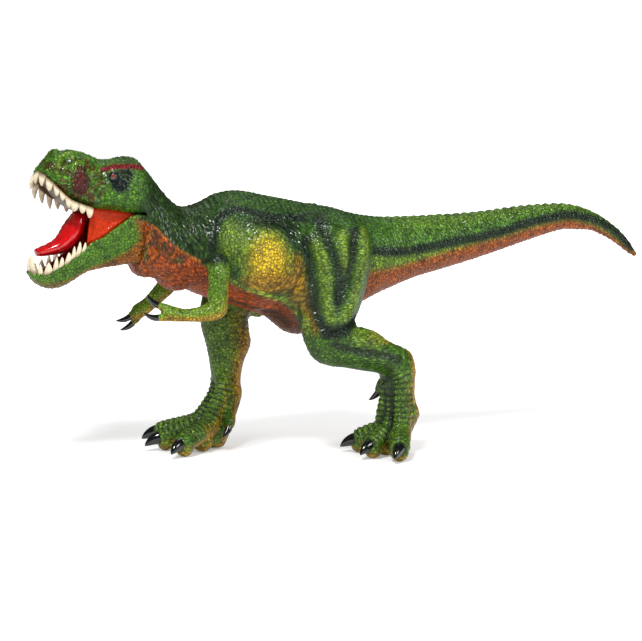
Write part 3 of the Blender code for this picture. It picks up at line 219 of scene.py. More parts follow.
# Arm stations from the shoulder to the hand: x, y away from the midplane, z, tilt, half
# length and half thickness
LEFT_ARM = (
    (-66.3, 28.2, 108.5, 0, 3.6, 3.0),
    (-66.0, 29.6, 105.5, 0, 5.4, 4.6),
    (-66.0, 30.6, 102.0, 0, 5.7, 5.2),
    (-66.6, 31.1, 96.0, 0, 5.2, 4.9),
    (-67.0, 31.4, 90.0, -5, 5.4, 4.8),
    (-68.2, 31.8, 83.5, -45, 5.6, 4.6),
    (-75.0, 31.8, 81.3, -80, 4.2, 4.2),
    (-84.0, 31.8, 80.8, -90, 3.3, 3.8),
    (-92.0, 31.8, 82.0, -90, 4.0, 4.2),
    (-96.5, 31.8, 82.5, -90, 2.6, 3.0),
)
RIGHT_ARM = (
    (-66.3, 28.2, 108.5, 0, 3.6, 3.0),
    (-66.4, 29.6, 105.5, 0, 5.4, 4.6),
    (-67.6, 30.6, 102.5, -15, 5.8, 5.2),
    (-71.5, 31.0, 98.0, -30, 5.4, 5.0),
    (-75.5, 31.2, 92.5, -38, 5.4, 4.8),
    (-81.0, 31.3, 86.5, -45, 4.6, 4.5),
    (-87.0, 31.3, 81.0, -48, 4.0, 4.2),
    (-92.5, 31.3, 77.3, -50, 4.2, 4.2),
    (-95.3, 31.3, 74.8, -50, 2.7, 3.0),
)
# Fingers: root x, y away from the midplane, z, then pitch and outward yaw in degrees
LEFT_FINGERS = ((-93.5, 31.2, 84.3, 22, -6), (-93.8, 32.4, 80.5, -4, 6))
RIGHT_FINGERS = ((-93.8, 30.7, 77.5, -36, -6), (-92.5, 31.9, 75.0, -52, 6))
FINGER_LENGTH = 6.2
FINGER_RADII = (2.4, 2.4, 2.1, 1.3)
ARMS = (("arm_left", -1, LEFT_ARM, LEFT_FINGERS, "left_arm"),
        ("arm_right", 1, RIGHT_ARM, RIGHT_FINGERS, "right_arm"))
# Shoulder cap: the axis's x and z, the way from there to the cap's middle, its y away from the
# midplane, and its radius
SHOULDER = (-66.5, 107.0)
CAP_OFFSET = (0.3, -1.2)
CAP_SIDE = 28.6
CAP_RADIUS = 6.0

# Eye beads: middle of the left one with y away from the midplane, and radius
EYE_PLACE = (-116.8, 16.2, 150.5)
EYE_RADIUS = 2.6

# Tongue stations from its root to the tip: x, z, half width, thickness
TONGUE = (
    (-127.0, 130.4, 4.2, 5.6),
    (-131.0, 128.4, 6.8, 9.4),
    (-134.3, 123.0, 8.0, 11.2),
    (-137.6, 118.4, 8.0, 10.4),
    (-141.8, 115.2, 7.4, 8.2),
    (-147.0, 113.4, 6.8, 6.0),
    (-151.2, 112.4, 5.6, 4.8),
    (-153.6, 112.0, 3.6, 3.4),
)

# Cheek webs: upper and lower edge from the mouth corner forwards, x and z
LEFT_CHEEK = (
    ((-104.5, 130.8), (-110.0, 133.0), (-117.0, 134.2), (-123.0, 135.0), (-127.0, 135.4)),
    ((-104.8, 130.0), (-112.0, 125.8), (-118.0, 121.0), (-124.5, 117.2), (-129.6, 116.2)))
RIGHT_CHEEK = (
    ((-104.5, 130.8), (-111.0, 133.0), (-119.0, 134.2), (-127.0, 136.0), (-131.5, 137.0)),
    ((-104.8, 130.0), (-113.0, 124.5), (-121.0, 118.0), (-128.5, 113.6), (-134.0, 112.6)))
CHEEK_PLANE = 10.5
CHEEK_THICKNESS = 1.8

# Teeth of each row's left and right side: distance along the row from the midplane, height,
# width, lean ahead, and how far the gum that carries it hangs from the lip
UPPER_TEETH = (
    ((3.6, 5.6, 4.6, 0.22, 0), (9.0, 5.2, 4.7, 0.10, 0), (13.9, 4.6, 5.0, 0.14, 0),
     (18.6, 3.8, 4.6, 0.10, 0), (22.8, 3.2, 4.4, 0.14, 0), (26.6, 4.2, 4.5, 0.06, 0),
     (30.4, 4.2, 5.0, 0.18, 0), (34.6, 3.7, 4.4, 0.16, 0), (38.2, 4.8, 4.4, 0.08, 0)),
    ((0.9, 6.2, 4.4, 0.42, 0.6), (4.6, 6.2, 4.6, 0.34, 2.4), (8.6, 6.8, 4.7, 0.08, 5.8),
     (14.6, 6.6, 4.9, 0.0, 4.8), (21.0, 6.4, 4.8, 0.0, 3.4), (27.0, 5.4, 4.6, 0.0, 0.6),
     (32.4, 5.0, 4.2, 0.04, 0), (37.4, 5.4, 4.2, 0.04, 0)),
)
LOWER_TEETH = (
    ((1.6, 5.6, 3.2, 0.10, 0), (5.6, 10.6, 4.4, 0.06, 0), (9.6, 5.0, 3.6, 0.04, 0),
     (13.6, 5.2, 5.2, -0.02, 0), (17.4, 6.6, 3.7, -0.10, 0), (20.8, 4.8, 4.0, -0.06, 0),
     (24.8, 4.8, 4.8, -0.06, 0), (27.8, 6.2, 3.5, -0.10, 0), (30.8, 6.8, 4.2, -0.14, 0),
     (34.4, 4.2, 3.8, -0.16, 0)),
    ((2.4, 4.0, 3.0, 0.06, 0), (6.0, 6.6, 3.6, 0.04, 0), (10.2, 4.6, 3.6, 0.0, 0),
     (14.6, 5.4, 4.4, 0.0, 0), (19.2, 5.6, 3.8, -0.04, 0), (23.6, 6.0, 4.0, -0.04, 0),
     (28.2, 7.0, 4.0, -0.06, 0), (32.4, 7.0, 3.8, -0.10, 0)),
)

# Soft lobes under the throat: middle and radius
THROAT_LOBES = (((-96.8, -3.0, 106.4), 8.6), ((-96.8, 3.0, 106.4), 8.6),
                ((-91.6, -3.0, 105.4), 7.6), ((-91.6, 3.0, 105.4), 7.6),
                ((-81.0, -4.0, 101.4), 10.8), ((-81.0, 4.0, 101.4), 10.8))

# Sculpting strokes seen from the side, lines of x and z
FLANK_FOLD = ((-66, 102.5), (-62.3, 99.2), (-56, 94.8), (-50.3, 91.9), (-40.8, 88.7),
              (-31.4, 86.2), (-26.2, 81.9), (-22.4, 77), (-20.8, 70.5))
BELLY_HOLLOW = ((-62, 93), (-50, 86.5), (-40, 83), (-31, 79.5), (-26, 74), (-24, 69))
BELLY_LINES = (((-34, 77.5), (-27, 75), (-22, 71.5)), ((-34, 75), (-28, 72), (-23, 68)),
               ((-36, 79.5), (-29, 77.8), (-23.5, 74.5)), ((-60, 88), (-48, 83.5), (-38, 80.5)))
THROAT_RIDGES = (((-105, 109), (-102.3, 112.9), (-99.6, 118), (-98, 124.5)),
                 ((-99.6, 106.8), (-95.3, 109.8), (-93.7, 114.8), (-92.1, 119.3)),
                 ((-89.4, 106.2), (-86.2, 110.7), (-85.7, 114.7)),
                 ((-98.5, 113), (-95.5, 112), (-93.5, 113)),
                 ((-92.5, 112), (-89, 109.5), (-87, 110)))
SHOULDER_STRIPE = ((-67.5, 113), (-66.5, 120), (-62, 129), (-54, 133), (-46, 132), (-37, 130),
                   (-25, 129), (-14, 128))
ARC_STRIPE = ((-43, 127), (-34, 126), (-28, 122), (-25, 117))
THIGH_STRIPES = (
    ((-20.8, 118), (-20.8, 112), (-19.8, 103), (-18.5, 93), (-18, 83), (-15, 75), (-11.5, 70)),
    ((-13, 127), (-11.7, 120), (-8.4, 110.6), (-6, 103), (-5.7, 93), (-6.8, 86)),
    ((4.9, 122), (2.9, 114), (1.5, 105.7), (-1.6, 96), (-5.8, 86.5)),
)
THIGH_RIDGES = (
    ((-16, 116), (-13.5, 104), (-12, 94), (-11.5, 84), (-10, 77)),
    ((-3, 120), (-2, 110), (-2, 102)),
    ((11, 121), (9.5, 110), (7, 98), (3, 86), (-2, 78)),
)
KNEE_CREASE = ((-12, 69.5), (-4, 70.5), (3.2, 74), (7, 77))
CALF_STRIPE = ((-8, 64), (6, 59.6), (20, 56.8), (30, 54))
RIGHT_STRIPES = (
    ((-24, 118), (-35, 108), (-47, 97), (-55, 86), (-58, 74)),
    ((-9, 126), (-19, 113), (-29, 102), (-38, 92), (-44, 83)),
    ((6, 118), (-4, 105), (-15, 94), (-27, 84), (-37, 76)),
)
TAIL_STRIPE = ((14, 111), (36, 109.2), (52.7, 110.9), (70, 113.7), (87.5, 115.9), (105, 119.3),
               (117.5, 122.9), (136, 125.8), (148, 126.7), (164.6, 123), (175.5, 117.6),
               (188, 107.5))
TAIL_ORANGE = ((10, 96), (20, 99), (36, 101), (52, 104.5), (70, 109), (87, 112.5), (105, 116),
               (120, 120), (136, 123), (148, 124), (163, 120), (174, 114.5), (188, 105))
THROAT_RIDGE = ((-101.9, 127.4), (-97, 124.8), (-93, 121.3), (-87.6, 115.6), (-83.5, 112.5),
                (-73.5, 106.8))
REAR_LINE = ((-35.5, 76), (-38.0, 64), (-38.5, 52), (-40.0, 40), (-41.0, 30))
BROW = ((-121.5, 153.9), (-115.7, 155.3), (-108.5, 155.7), (-101.5, 155.0))
CHEEK_FOLD = ((-122.5, 155), (-121, 149), (-121.5, 143), (-124.5, 138))
SNOUT_SPOT = (-133.5, 147.5)
NOSTRIL_RIM = ((-144.5, 154.5), (-143.0, 159.5), (-139.0, 162.0), (-134.0, 163.0))
FLANK_AMBER = ((-26, 106), (-24.5, 98), (-23.5, 90), (-21.5, 82), (-17, 73))
HIP_DASH = ((-16, 128), (-12, 130))
# Upper edge of the orange paint on throat and belly, and on the jaw, from the side
BELLY_EDGE = ((-108, 131), (-102, 127.5), (-97, 125), (-93, 121), (-87.5, 115.5), (-83, 112),
              (-74, 106), (-66, 101), (-58, 95.5), (-50, 91.5), (-41, 88), (-31, 85), (-25, 80.5),
              (-20, 75), (-10, 78), (6, 90), (20, 97))
JAW_EDGE = ((-160, 99), (-150, 96.5), (-140, 98), (-130, 103), (-118, 107.5), (-109, 112),
            (-103, 118))

# Swellings and hollows seen from the side: middle, radii and height
FLANK_CENTRE = (-40, 108)
FLANK_DOMES = (((-41, 108), (19, 19), 1.8), (FLANK_CENTRE, (14, 16), 0.9),
               ((-56.5, 118), (9, 11), 1.6))
SOCKET_DOMES = (((-113.9, 148.0), (5.8, 6.4), -2.0), ((-110.6, 151.4), (4.2, 4.2), -1.4))
SNOUT_DOMES = (((-139, 158), (4, 3), -1.2), ((-134, 147), (9, 9), 1.2))
CALF_DOME = ((15, 66), (13, 7), 2.0)
# Sprayed spots seen from the side: middle and radii, then the colour, strength and soft edge
THROAT_HOLLOWS = (((-101.0, 114.5), (2.6, 4.6)), ((-97.0, 119.5), (3.2, 4.6)),
                  ((-92.5, 114.5), (2.4, 3.6)), ((-88.6, 109.4), (2.0, 3.2)),
                  ((-100.8, 108.5), (2.4, 3.2)), ((-84.0, 107.5), (2.6, 2.6)))
FLANK_SPOTS = (((-56.5, 117), (6.5, 10), "light", 0.75, 0.5),
               ((-41, 108), (13, 17), "light", 0.85, 0.3),
               ((-40, 105.5), (9.5, 13), "patch", 1.0, 0.5),
               ((-38, 95.5), (13, 5.5), "amber", 0.75, 0.5))
# Where the main skin is parted, in x or z. The hips start between the two legs' openings, so
# that each opening is a flat loop when it is filled.
TAIL_START = 52
HIP_START = -26
LEG_TOP = 66
HEAD_BOTTOM = 128

# Stage: half the floor's width in metres, what the camera looks at, and the lamps with their
# place from there in metres, size and share of the key lamp's power
FLOOR_REACH = 6.0
CAMERA_TARGET = (0.0, 0.0, 72.0)
LAMPS = (("key_lamp", (-0.40, -0.60, 0.85), 0.19, 1.0),
         ("fill_lamp", (0.60, -0.80, 0.50), 0.35, 0.45),
         ("rim_lamp", (0.1, 0.55, 1.0), 0.50, 0.18))

# Way up a tooth, from root to tip, in the steps that it is drawn and painted in
TOOTH_WAY = np.sin(np.linspace(0, 0.5 * math.pi, 18))[:, None]
# How far the teeth's roots lie inside the gum
ROOT_DEPTH = 0.9


def linear(hex_colour):
    """Turn an sRGB hex colour into linear red, green and blue."""
    channels = [int(hex_colour[i:i + 2], 16) / 255 for i in (1, 3, 5)]
    return tuple(c / 12.92 if c <= 0.04045 else ((c + 0.055) / 1.055) ** 2.4 for c in channels)


def fade(low, high, value):
    """0 below low, 1 above high and 3t^2 - 2t^3 between them."""
    t = np.clip((value - low) / (high - low), 0, 1)
    return t * t * (3 - 2 * t)


def circle(points):
    """Angles of that many even steps round a circle."""
    return np.linspace(0, 2 * math.pi, points, endpoint=False)


def squared(value, power):
    """A cosine or sine to a power with its sign kept, which gives an oval corners."""
    return np.sign(value) * np.abs(value) ** power


def unit(vectors):
    """Vectors made one long."""
    return vectors / np.linalg.norm(vectors, axis=-1, keepdims=True)


def run_along(line):
    """Distance along a line of points from its first point to each."""
    return np.concatenate(((0,), np.cumsum(np.linalg.norm(np.diff(line, axis=0), axis=1))))


def columns_at(place, places, rows):
    """The columns of a table at one place or several, by straight interpolation."""
    return np.stack([np.interp(place, places, column) for column in rows.T], axis=-1)


def level_way(degrees):
    """Level direction at an angle in plan from -X towards -Y."""
    turn = math.radians(degrees)
    return np.array((-math.cos(turn), -math.sin(turn), 0.0))


def spread(chosen, values):
    """The chosen points' values in an array for all points, with 0 elsewhere."""
    whole = np.zeros(len(chosen))
    whole[chosen] = values
    return whole


def round_point(x, z, centre):
    """Distance from a point of the side view, and the angle round it."""
    return np.hypot(x - centre[0], z - centre[1]), np.arctan2(x - centre[0], z - centre[1])


def spline(rows, count):
    """Catmull-Rom curve: each point is the cubic blend of the four rows round its place."""
    rows = np.asarray(rows, float)
    padded = np.vstack((2 * rows[0] - rows[1], rows, 2 * rows[-1] - rows[-2]))
    place = np.linspace(0, len(rows) - 1, count)
    start = np.minimum(place.astype(int), len(rows) - 2)
    t = (place - start)[:, None]
    a, b, c, d = (padded[start + i] for i in range(4))
    return 0.5 * (2 * b + (c - a) * t + (2 * a - 5 * b + 4 * c - d) * t ** 2
                  + (3 * b - a - 3 * c + d) * t ** 3)


def rows_at(rows, place):
    """The rows of a table at places counted in rows, by straight interpolation."""
    rows = np.asarray(rows, float)
    start = np.clip(place.astype(int), 0, len(rows) - 2)
    return rows[start] + (rows[start + 1] - rows[start]) * (place - start)[:, None]


def egg_rings(rows, points, squareness=1.0, grow=0.0):
    """Ovals on a grid of place and turn: half width times cos to the squareness across, and
    from the widest level up or down by the depth left times sin to the squareness."""
    turn = circle(points)
    across, rise = squared(np.cos(turn), squareness), squared(np.sin(turn), squareness)
    top, bottom, half, level = rows[:, 0:2], rows[:, 2:4], rows[:, 4:5], rows[:, 5:6]
    axis = unit(top - bottom)
    top, bottom = top + axis * grow, bottom - axis * grow
    height = level + np.where(rise > 0, (1 - level) * rise, level * rise)
    side = bottom[:, None] + (top - bottom)[:, None] * height[..., None]
    return np.stack((side[..., 0], (half + grow) * across, side[..., 1]), axis=-1)


def limb_rings(rows, side, points):
    """Ovals on a grid of place and turn: half length times cos along the tilt in XZ, and half
    thickness times sin along Y."""
    turn = circle(points)
    tilt = np.radians(rows[:, 3:4])
    along = rows[:, 4:5] * np.cos(turn)
    return np.stack((rows[:, 0:1] + along * np.cos(tilt),
                     side * (rows[:, 1:2] + rows[:, 5:6] * np.sin(turn)),
                     rows[:, 2:3] + along * np.sin(tilt)), axis=-1)


def tube_rings(line, radii, points, flatness=1.0, reference=(0.0, 1.0, 0.0)):
    """Rings square to a line: its point plus radius times cos across and sin above it."""
    turn = circle(points)
    ahead = unit(np.gradient(line, axis=0))
    across = unit(np.cross(ahead, reference))
    above = np.cross(across, ahead)
    radii = np.asarray(radii, float)[:, None, None]
    return (line[:, None] + radii * (np.cos(turn)[:, None] * across[:, None] * flatness
                                     + np.sin(turn)[:, None] * above[:, None]))


def ball_rings(centre, radius, points=20):
    """A sphere: radius times cos and sin of latitude and turn, short of its poles."""
    lean = np.linspace(-1.45, 1.45, 11)
    turn = circle(points)
    flat = np.cos(lean)[:, None]
    return np.array(centre) + radius * np.stack(
        (flat * np.cos(turn), flat * np.sin(turn), np.sin(lean)[:, None] + 0 * turn), axis=-1)


def closed(grid):
    """Vertices and faces of a grid of rings, with each end drawn to the middle of its ring."""
    count, points = grid.shape[:2]
    i, j = np.meshgrid(np.arange(count - 1), np.arange(points), indexing="ij")
    k = (j + 1) % points
    quads = np.stack((i * points + j, i * points + k,
                      (i + 1) * points + k, (i + 1) * points + j), -1)
    around = np.arange(points)
    after = (around + 1) % points
    first, last = count * points, count * points + 1
    start = np.stack((after, around, np.full(points, first)), -1)
    stop = np.stack((around + (count - 1) * points, after + (count - 1) * points,
                     np.full(points, last)), -1)
    vertices = np.vstack((grid.reshape(-1, 3), grid[0].mean(0), grid[-1].mean(0)))
    return vertices, quads.reshape(-1, 4).tolist() + start.tolist() + stop.tolist()


def gather(forms):
    """Vertices and faces of several closed grids or meshes as one list."""
    vertices, faces, count = [], [], 0
    for form in forms:
        points, polygons = form if isinstance(form, tuple) else closed(form)
        vertices.append(points)
        faces += [[corner + count for corner in polygon] for polygon in polygons]
        count += len(points)
    return np.vstack(vertices), faces


def new_object(name, data):
    """A new object of the scene."""
    thing = bpy.data.objects.new(name, data)
    bpy.context.scene.collection.objects.link(thing)
    return thing


def fuse(name, grids, voxel):
    """One skin round overlapping closed forms, as points and quads of a voxel remesh."""
    vertices, faces = gather(grids)
    mesh = bpy.data.meshes.new(name)
    mesh.from_pydata(vertices, [], faces)
    thing = new_object(name, mesh)
    modifier = thing.modifiers.new("fuse", "REMESH")
    modifier.mode = "VOXEL"
    modifier.voxel_size = voxel
    modifier.adaptivity = 0.0
    finished = thing.evaluated_get(bpy.context.evaluated_depsgraph_get())
    skin = bpy.data.meshes.new_from_object(finished)
    points = np.zeros(len(skin.vertices) * 3)
    skin.vertices.foreach_get("co", points)
    corners = np.zeros(len(skin.loops), np.int64)
    skin.loops.foreach_get("vertex_index", corners)
    bpy.data.objects.remove(thing)
    bpy.data.meshes.remove(skin)
    bpy.data.meshes.remove(mesh)
    return points.reshape(-1, 3), corners.reshape(-1, 4)


def vertex_normals(points, quads):
    """Sum of the cross products of the diagonals of the quads round each point, made unit long."""
    a, b, c, d = (points[quads[:, k]] for k in range(4))
    face = np.cross(c - a, d - b)
    total = np.stack([sum(np.bincount(quads[:, k], face[:, axis], len(points))
                          for k in range(4)) for axis in range(3)], axis=1)
    return total / np.maximum(np.linalg.norm(total, axis=1), 1e-12)[:, None]


def relax(points, quads, rounds, weight=1.0):
    """Each round moves every point half way, times its weight, to the mean of its neighbours."""
    weight = np.broadcast_to(np.asarray(weight, float), len(points))[:, None] * 0.5
    count = np.bincount(quads.ravel(), minlength=len(points))[:, None] * 2
    for _ in range(rounds):
        total = np.stack([sum(np.bincount(quads[:, k], points[quads[:, (k + 1) % 4], axis]
                                          + points[quads[:, (k + 3) % 4], axis], len(points))
                              for k in range(4)) for axis in range(3)], axis=1)
        points = points + (total / np.maximum(count, 1) - points) * weight
    return points


def scatter(cell, seed):
    """Three shares from 0 to 1 for each whole-number cell, from its numbers times large primes."""
    mixed = (cell[:, 0] * 374761393 + cell[:, 1] * 668265263 + cell[:, 2] * 1442695041
             + seed * 97531)
    mixed = (mixed ^ (mixed >> 13)) * 1274126177
    mixed = mixed ^ (mixed >> 16)
    return np.stack([((mixed >> shift) & 1023) / 1023 for shift in (0, 10, 20)], axis=1)


def scale_domes(points, size, seed=1):
    """Scales of that size: 1 at each scattered seed, falling to 0 half way to the next one."""
    place = points / size
    home = np.floor(place).astype(np.int64)
    first = np.full(len(points), 9.0)
    second = first.copy()
    for step in np.ndindex(3, 3, 3):
        cell = home + np.array(step) - 1
        gap = np.linalg.norm(cell + scatter(cell, seed) - place, axis=1)
        second = np.minimum(second, np.maximum(first, gap))
        first = np.minimum(first, gap)
    return 1 - 2 * first / (first + second)


def cloud(points, size, seed=7):
    """Smooth random field from -1 to 1: the values at the corners of cubes of that size, blended
    by 3t^2 - 2t^3."""
    place = points / size
    home = np.floor(place).astype(np.int64)
    t = place - home
    t = t * t * (3 - 2 * t)
    total = np.zeros(len(points))
    for step in np.ndindex(2, 2, 2):
        share = np.prod(np.where(np.array(step) == 1, t, 1 - t), axis=1)
        total += share * scatter(home + np.array(step), seed)[:, 0]
    return total * 2 - 1


def nearest_on(line, points, reach=np.inf):
    """Distance from each point to a line of straight pieces, and the place on it in its own
    point numbers. Points outside the line's box by more than reach keep an endless distance."""
    line = np.asarray(line, float)
    near = np.all((points > line.min(0) - reach) & (points < line.max(0) + reach), axis=1)
    here = points[near]
    best, where = np.full(len(here), np.inf), np.zeros(len(here))
    for number, (a, b) in enumerate(zip(line[:-1], line[1:])):
        step = b - a
        share = np.clip((here - a) @ step / (step @ step), 0, 1)
        away = np.linalg.norm(here - a - share[:, None] * step, axis=1)
        closer = away < best
        best[closer] = away[closer]
        where[closer] = number + share[closer]
    gap, place = np.full(len(points), np.inf), np.zeros(len(points))
    gap[near], place[near] = best, where
    return gap, place


class Skin:
    """A sculpted surface in millimetres: its points, quads, outward normals and paint, and the
    coordinates that its beads lie on, with their depth. Lines and spots are x and z in the view
    from the side; side is -1 or 1 for the left or right half only, and 0 for both."""

    def __init__(self, points, quads, colour):
        self.points = points
        self.quads = quads
        self.normals = vertex_normals(points, quads)
        self.paint = np.tile(np.array(colour, float), (len(points), 1))
        self.grain = points
        self.depth = np.ones(len(points))

    def swell(self, height):
        """Move every point along its normal by its height."""
        self.points = self.points + self.normals * np.asarray(height)[:, None]

    def settle(self):
        """Work the normals out again after the points have moved."""
        self.normals = vertex_normals(self.points, self.quads)

    def view(self, side):
        """Each point's x and z, and how much it faces sideways."""
        facing = fade(0.08, 0.5, np.abs(self.normals[:, 1]))
        if side:
            facing = facing * (side * self.points[:, 1] > 0)
        return self.points[:, (0, 2)], facing

    def stroke(self, line, width, height, side=0, beads=0.0, taper=0.12):
        """Raise, or press in, a band along a smooth line: height times exp(-(gap / width)^2),
        tapered at its ends, with beads of a spacing if asked."""
        seen, facing = self.view(side)
        gap, place = nearest_on(spline(line, CURVE_POINTS), seen, 3 * width)
        steps = CURVE_POINTS - 1
        nearness = np.exp(-(gap / width) ** 2) * facing
        if beads:
            length = np.linalg.norm(np.diff(np.asarray(line, float), axis=0), axis=1).sum()
            wave = np.cos(2 * math.pi * place / steps * length / beads)
            nearness = nearness * (0.55 + 0.45 * wave)
        ends = np.minimum(place, steps - place) / steps
        self.swell(height * nearness * fade(-0.02, taper, ends))

    def dome(self, centre, radii, height, side=0):
        """Raise an oval swelling: height times (1 - distance^2)^2 inside it."""
        seen, facing = self.view(side)
        far = np.clip((((seen - centre) / radii) ** 2).sum(1), 0, 1)
        self.swell(height * (1 - far) ** 2 * facing)

    def spray(self, colour, amount):
        """Mix a colour into the paint by an amount from 0 to 1 at each point."""
        share = np.clip(amount, 0, 1)[:, None]
        self.paint = self.paint + (np.array(colour, float) - self.paint) * share

    def brush(self, line, width, colour, strength=1.0, side=0, soft=0.6):
        """Paint a band along a line: full inside its width and fading out over a soft share."""
        seen, facing = self.view(side)
        gap, _ = nearest_on(spline(line, CURVE_POINTS), seen, 3 * width)
        self.spray(colour, strength * facing
                   * (1 - fade(width * (1 - soft), width * (1 + soft), gap)))

    def patch(self, centre, radii, colour, strength=1.0, side=0, edge=0.35):
        """Paint an oval spot that fades out over its edge share."""
        seen, facing = self.view(side)
        far = np.sqrt((((seen - centre) / radii) ** 2).sum(1))
        self.spray(colour, strength * facing * (1 - fade(1 - edge, 1 + edge, far)))


def to_frame(points):
    """Figure millimetres to the frame's metres."""
    return np.asarray(points, float) * MM + ORIGIN


def show(mesh, material, body, nodes):
    """Put a finished mesh in the scene as a piece that stands for CAD nodes, and attach it to a
    body when one is given."""
    mesh.materials.append(material)
    thing = new_object(mesh.name, mesh)
    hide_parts(*nodes)
    if body:
        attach(thing, body)
    return thing


def paint_layer(mesh, paint, depth=1.0):
    """Store one linear colour for each vertex, with the depth of its beads as the alpha."""
    depth = np.broadcast_to(depth, len(paint))
    layer = mesh.color_attributes.new("paint", "FLOAT_COLOR", "POINT")
    layer.data.foreach_set("color", np.column_stack((paint, depth)).ravel())


def skin_mesh(name, skin, chosen=None):
    """The mesh of a skin, or of its chosen quads closed where they were cut from the rest."""
    quads = skin.quads if chosen is None else skin.quads[chosen]
    used, corners = np.unique(quads, return_inverse=True)
    mesh = bpy.data.meshes.new(name)
    mesh.from_pydata(to_frame(skin.points[used]), [], corners.reshape(-1, 4).tolist())
    if chosen is not None:
        shape = bmesh.new()
        shape.from_mesh(mesh)
        bmesh.ops.holes_fill(shape, edges=[e for e in shape.edges if e.is_boundary], sides=0)
        shape.to_mesh(mesh)
        shape.free()
    paint_layer(mesh, skin.paint[used], skin.depth[used])
    grain = mesh.attributes.new("grain", "FLOAT_VECTOR", "POINT")
    grain.data.foreach_set("vector", (skin.grain[used] * MM).ravel())
    mesh.shade_smooth()
    if chosen is not None:
        mesh.normals_split_custom_set_from_vertices(skin.normals[used])
    return mesh


def rings_mesh(name, grids, paints=None):
    """The mesh of closed ring grids, with its faces turned outwards and a colour on each ring."""
    vertices, faces = gather(grids)
    mesh = bpy.data.meshes.new(name)
    mesh.from_pydata(to_frame(vertices), [], faces)
    if paints is not None:
        paint = [np.vstack((np.repeat(colours, grid.shape[1], axis=0), colours[:1], colours[-1:]))
                 for grid, colours in zip(grids, paints)]
        paint_layer(mesh, np.vstack(paint))
    shape = bmesh.new()
    shape.from_mesh(mesh)
    bmesh.ops.recalc_face_normals(shape, faces=shape.faces)
    shape.to_mesh(mesh)
    shape.free()
    mesh.shade_smooth()
    return mesh


def set_inputs(tree, node, inputs):
    """Set each named input of a node to a value, or link it to the output given."""
    for name, value in inputs.items():
        if isinstance(value, bpy.types.NodeSocket):
            tree.links.new(value, node.inputs[name])
        else:
            node.inputs[name].default_value = value


def add_node(tree, kind, settings=None, inputs=None):
    """Add a node, set its properties, and set or link its inputs."""
    node = tree.nodes.new("ShaderNode" + kind)
    for name, value in (settings or {}).items():
        setattr(node, name, value)
    set_inputs(tree, node, inputs or {})
    return node


def new_material(name):
    """A material with only its Principled shader and output."""
    material = bpy.data.materials.new(name)
    material.use_nodes = True
    return material, material.node_tree, material.node_tree.nodes["Principled BSDF"]


def airbrushed_vinyl(name, bead, relief):
    """Soft PVC, slush moulded in a beaded mould, airbrushed, darkened between the beads as painted
    shade as well as a dark wash, and lacquered: each bead catches its own small highlight. The
    beads lie on the skin's own grain coordinates, which run along its folds, and the paint's alpha
    says how deep they are."""
    material, tree, shader = new_material(name)
    place = add_node(tree, "TexCoord").outputs["Object"]
    grain = add_node(tree, "Attribute", {"attribute_name": "grain"}).outputs["Vector"]
    paint = add_node(tree, "Attribute", {"attribute_name": "paint"})
    cells = {"Vector": grain, "Scale": 1 / (bead * MM), "Randomness": 0.85}
    beads = add_node(tree, "TexVoronoi", {"feature": "F1"}, cells).outputs["Distance"]
    gaps = add_node(tree, "TexVoronoi", {"feature": "DISTANCE_TO_EDGE"}, cells)
    # Uneven spray, in clouds of 5 mm
    mottle = add_node(tree, "TexNoise", None,
                      {"Vector": place, "Scale": 1 / (5.0 * MM), "Detail": 3.0})
    # Darker between the beads, painted shade as well as a dark wash: a quarter of the paint's
    # brightness is left there
    kept = add_node(tree, "MapRange", None, {
        "Value": gaps.outputs["Distance"], "From Max": 0.22, "To Min": 0.25})
    tone = add_node(tree, "MapRange", None, {
        "Value": mottle.outputs["Fac"], "From Min": 0.3, "From Max": 0.7,
        "To Min": 0.76, "To Max": 1.5})
    shade = add_node(tree, "Math", {"operation": "MULTIPLY"},
                     {0: kept.outputs["Result"], 1: tone.outputs["Result"]})
    colour = add_node(tree, "VectorMath", {"operation": "SCALE"},
                      {0: paint.outputs["Color"], "Scale": shade.outputs["Value"]})
    rough = add_node(tree, "MapRange", None,
                     {"Value": mottle.outputs["Fac"], "To Min": 0.34, "To Max": 0.5})
    # Round beads: 1 less the distance squared, times their depth
    square = add_node(tree, "Math", {"operation": "MULTIPLY"}, {0: beads, 1: beads})
    height = add_node(tree, "Math", {"operation": "MULTIPLY_ADD"},
                      {0: square.outputs["Value"], 1: -1.0, 2: 1.0})
    deep = add_node(tree, "Math", {"operation": "MULTIPLY"},
                    {0: height.outputs["Value"], 1: paint.outputs["Alpha"]})
    bump = add_node(tree, "Bump", None, {
        "Height": deep.outputs["Value"], "Distance": relief * MM, "Strength": 1.0})
    beaded = bump.outputs["Normal"]
    set_inputs(tree, shader, {
        "Base Color": colour.outputs["Vector"], "Roughness": rough.outputs["Result"],
        "Normal": beaded, "Coat Normal": beaded, "IOR": 1.5, "Specular IOR Level": 0.1,
        "Coat Weight": 0.4, "Coat Roughness": 0.07})
    return material


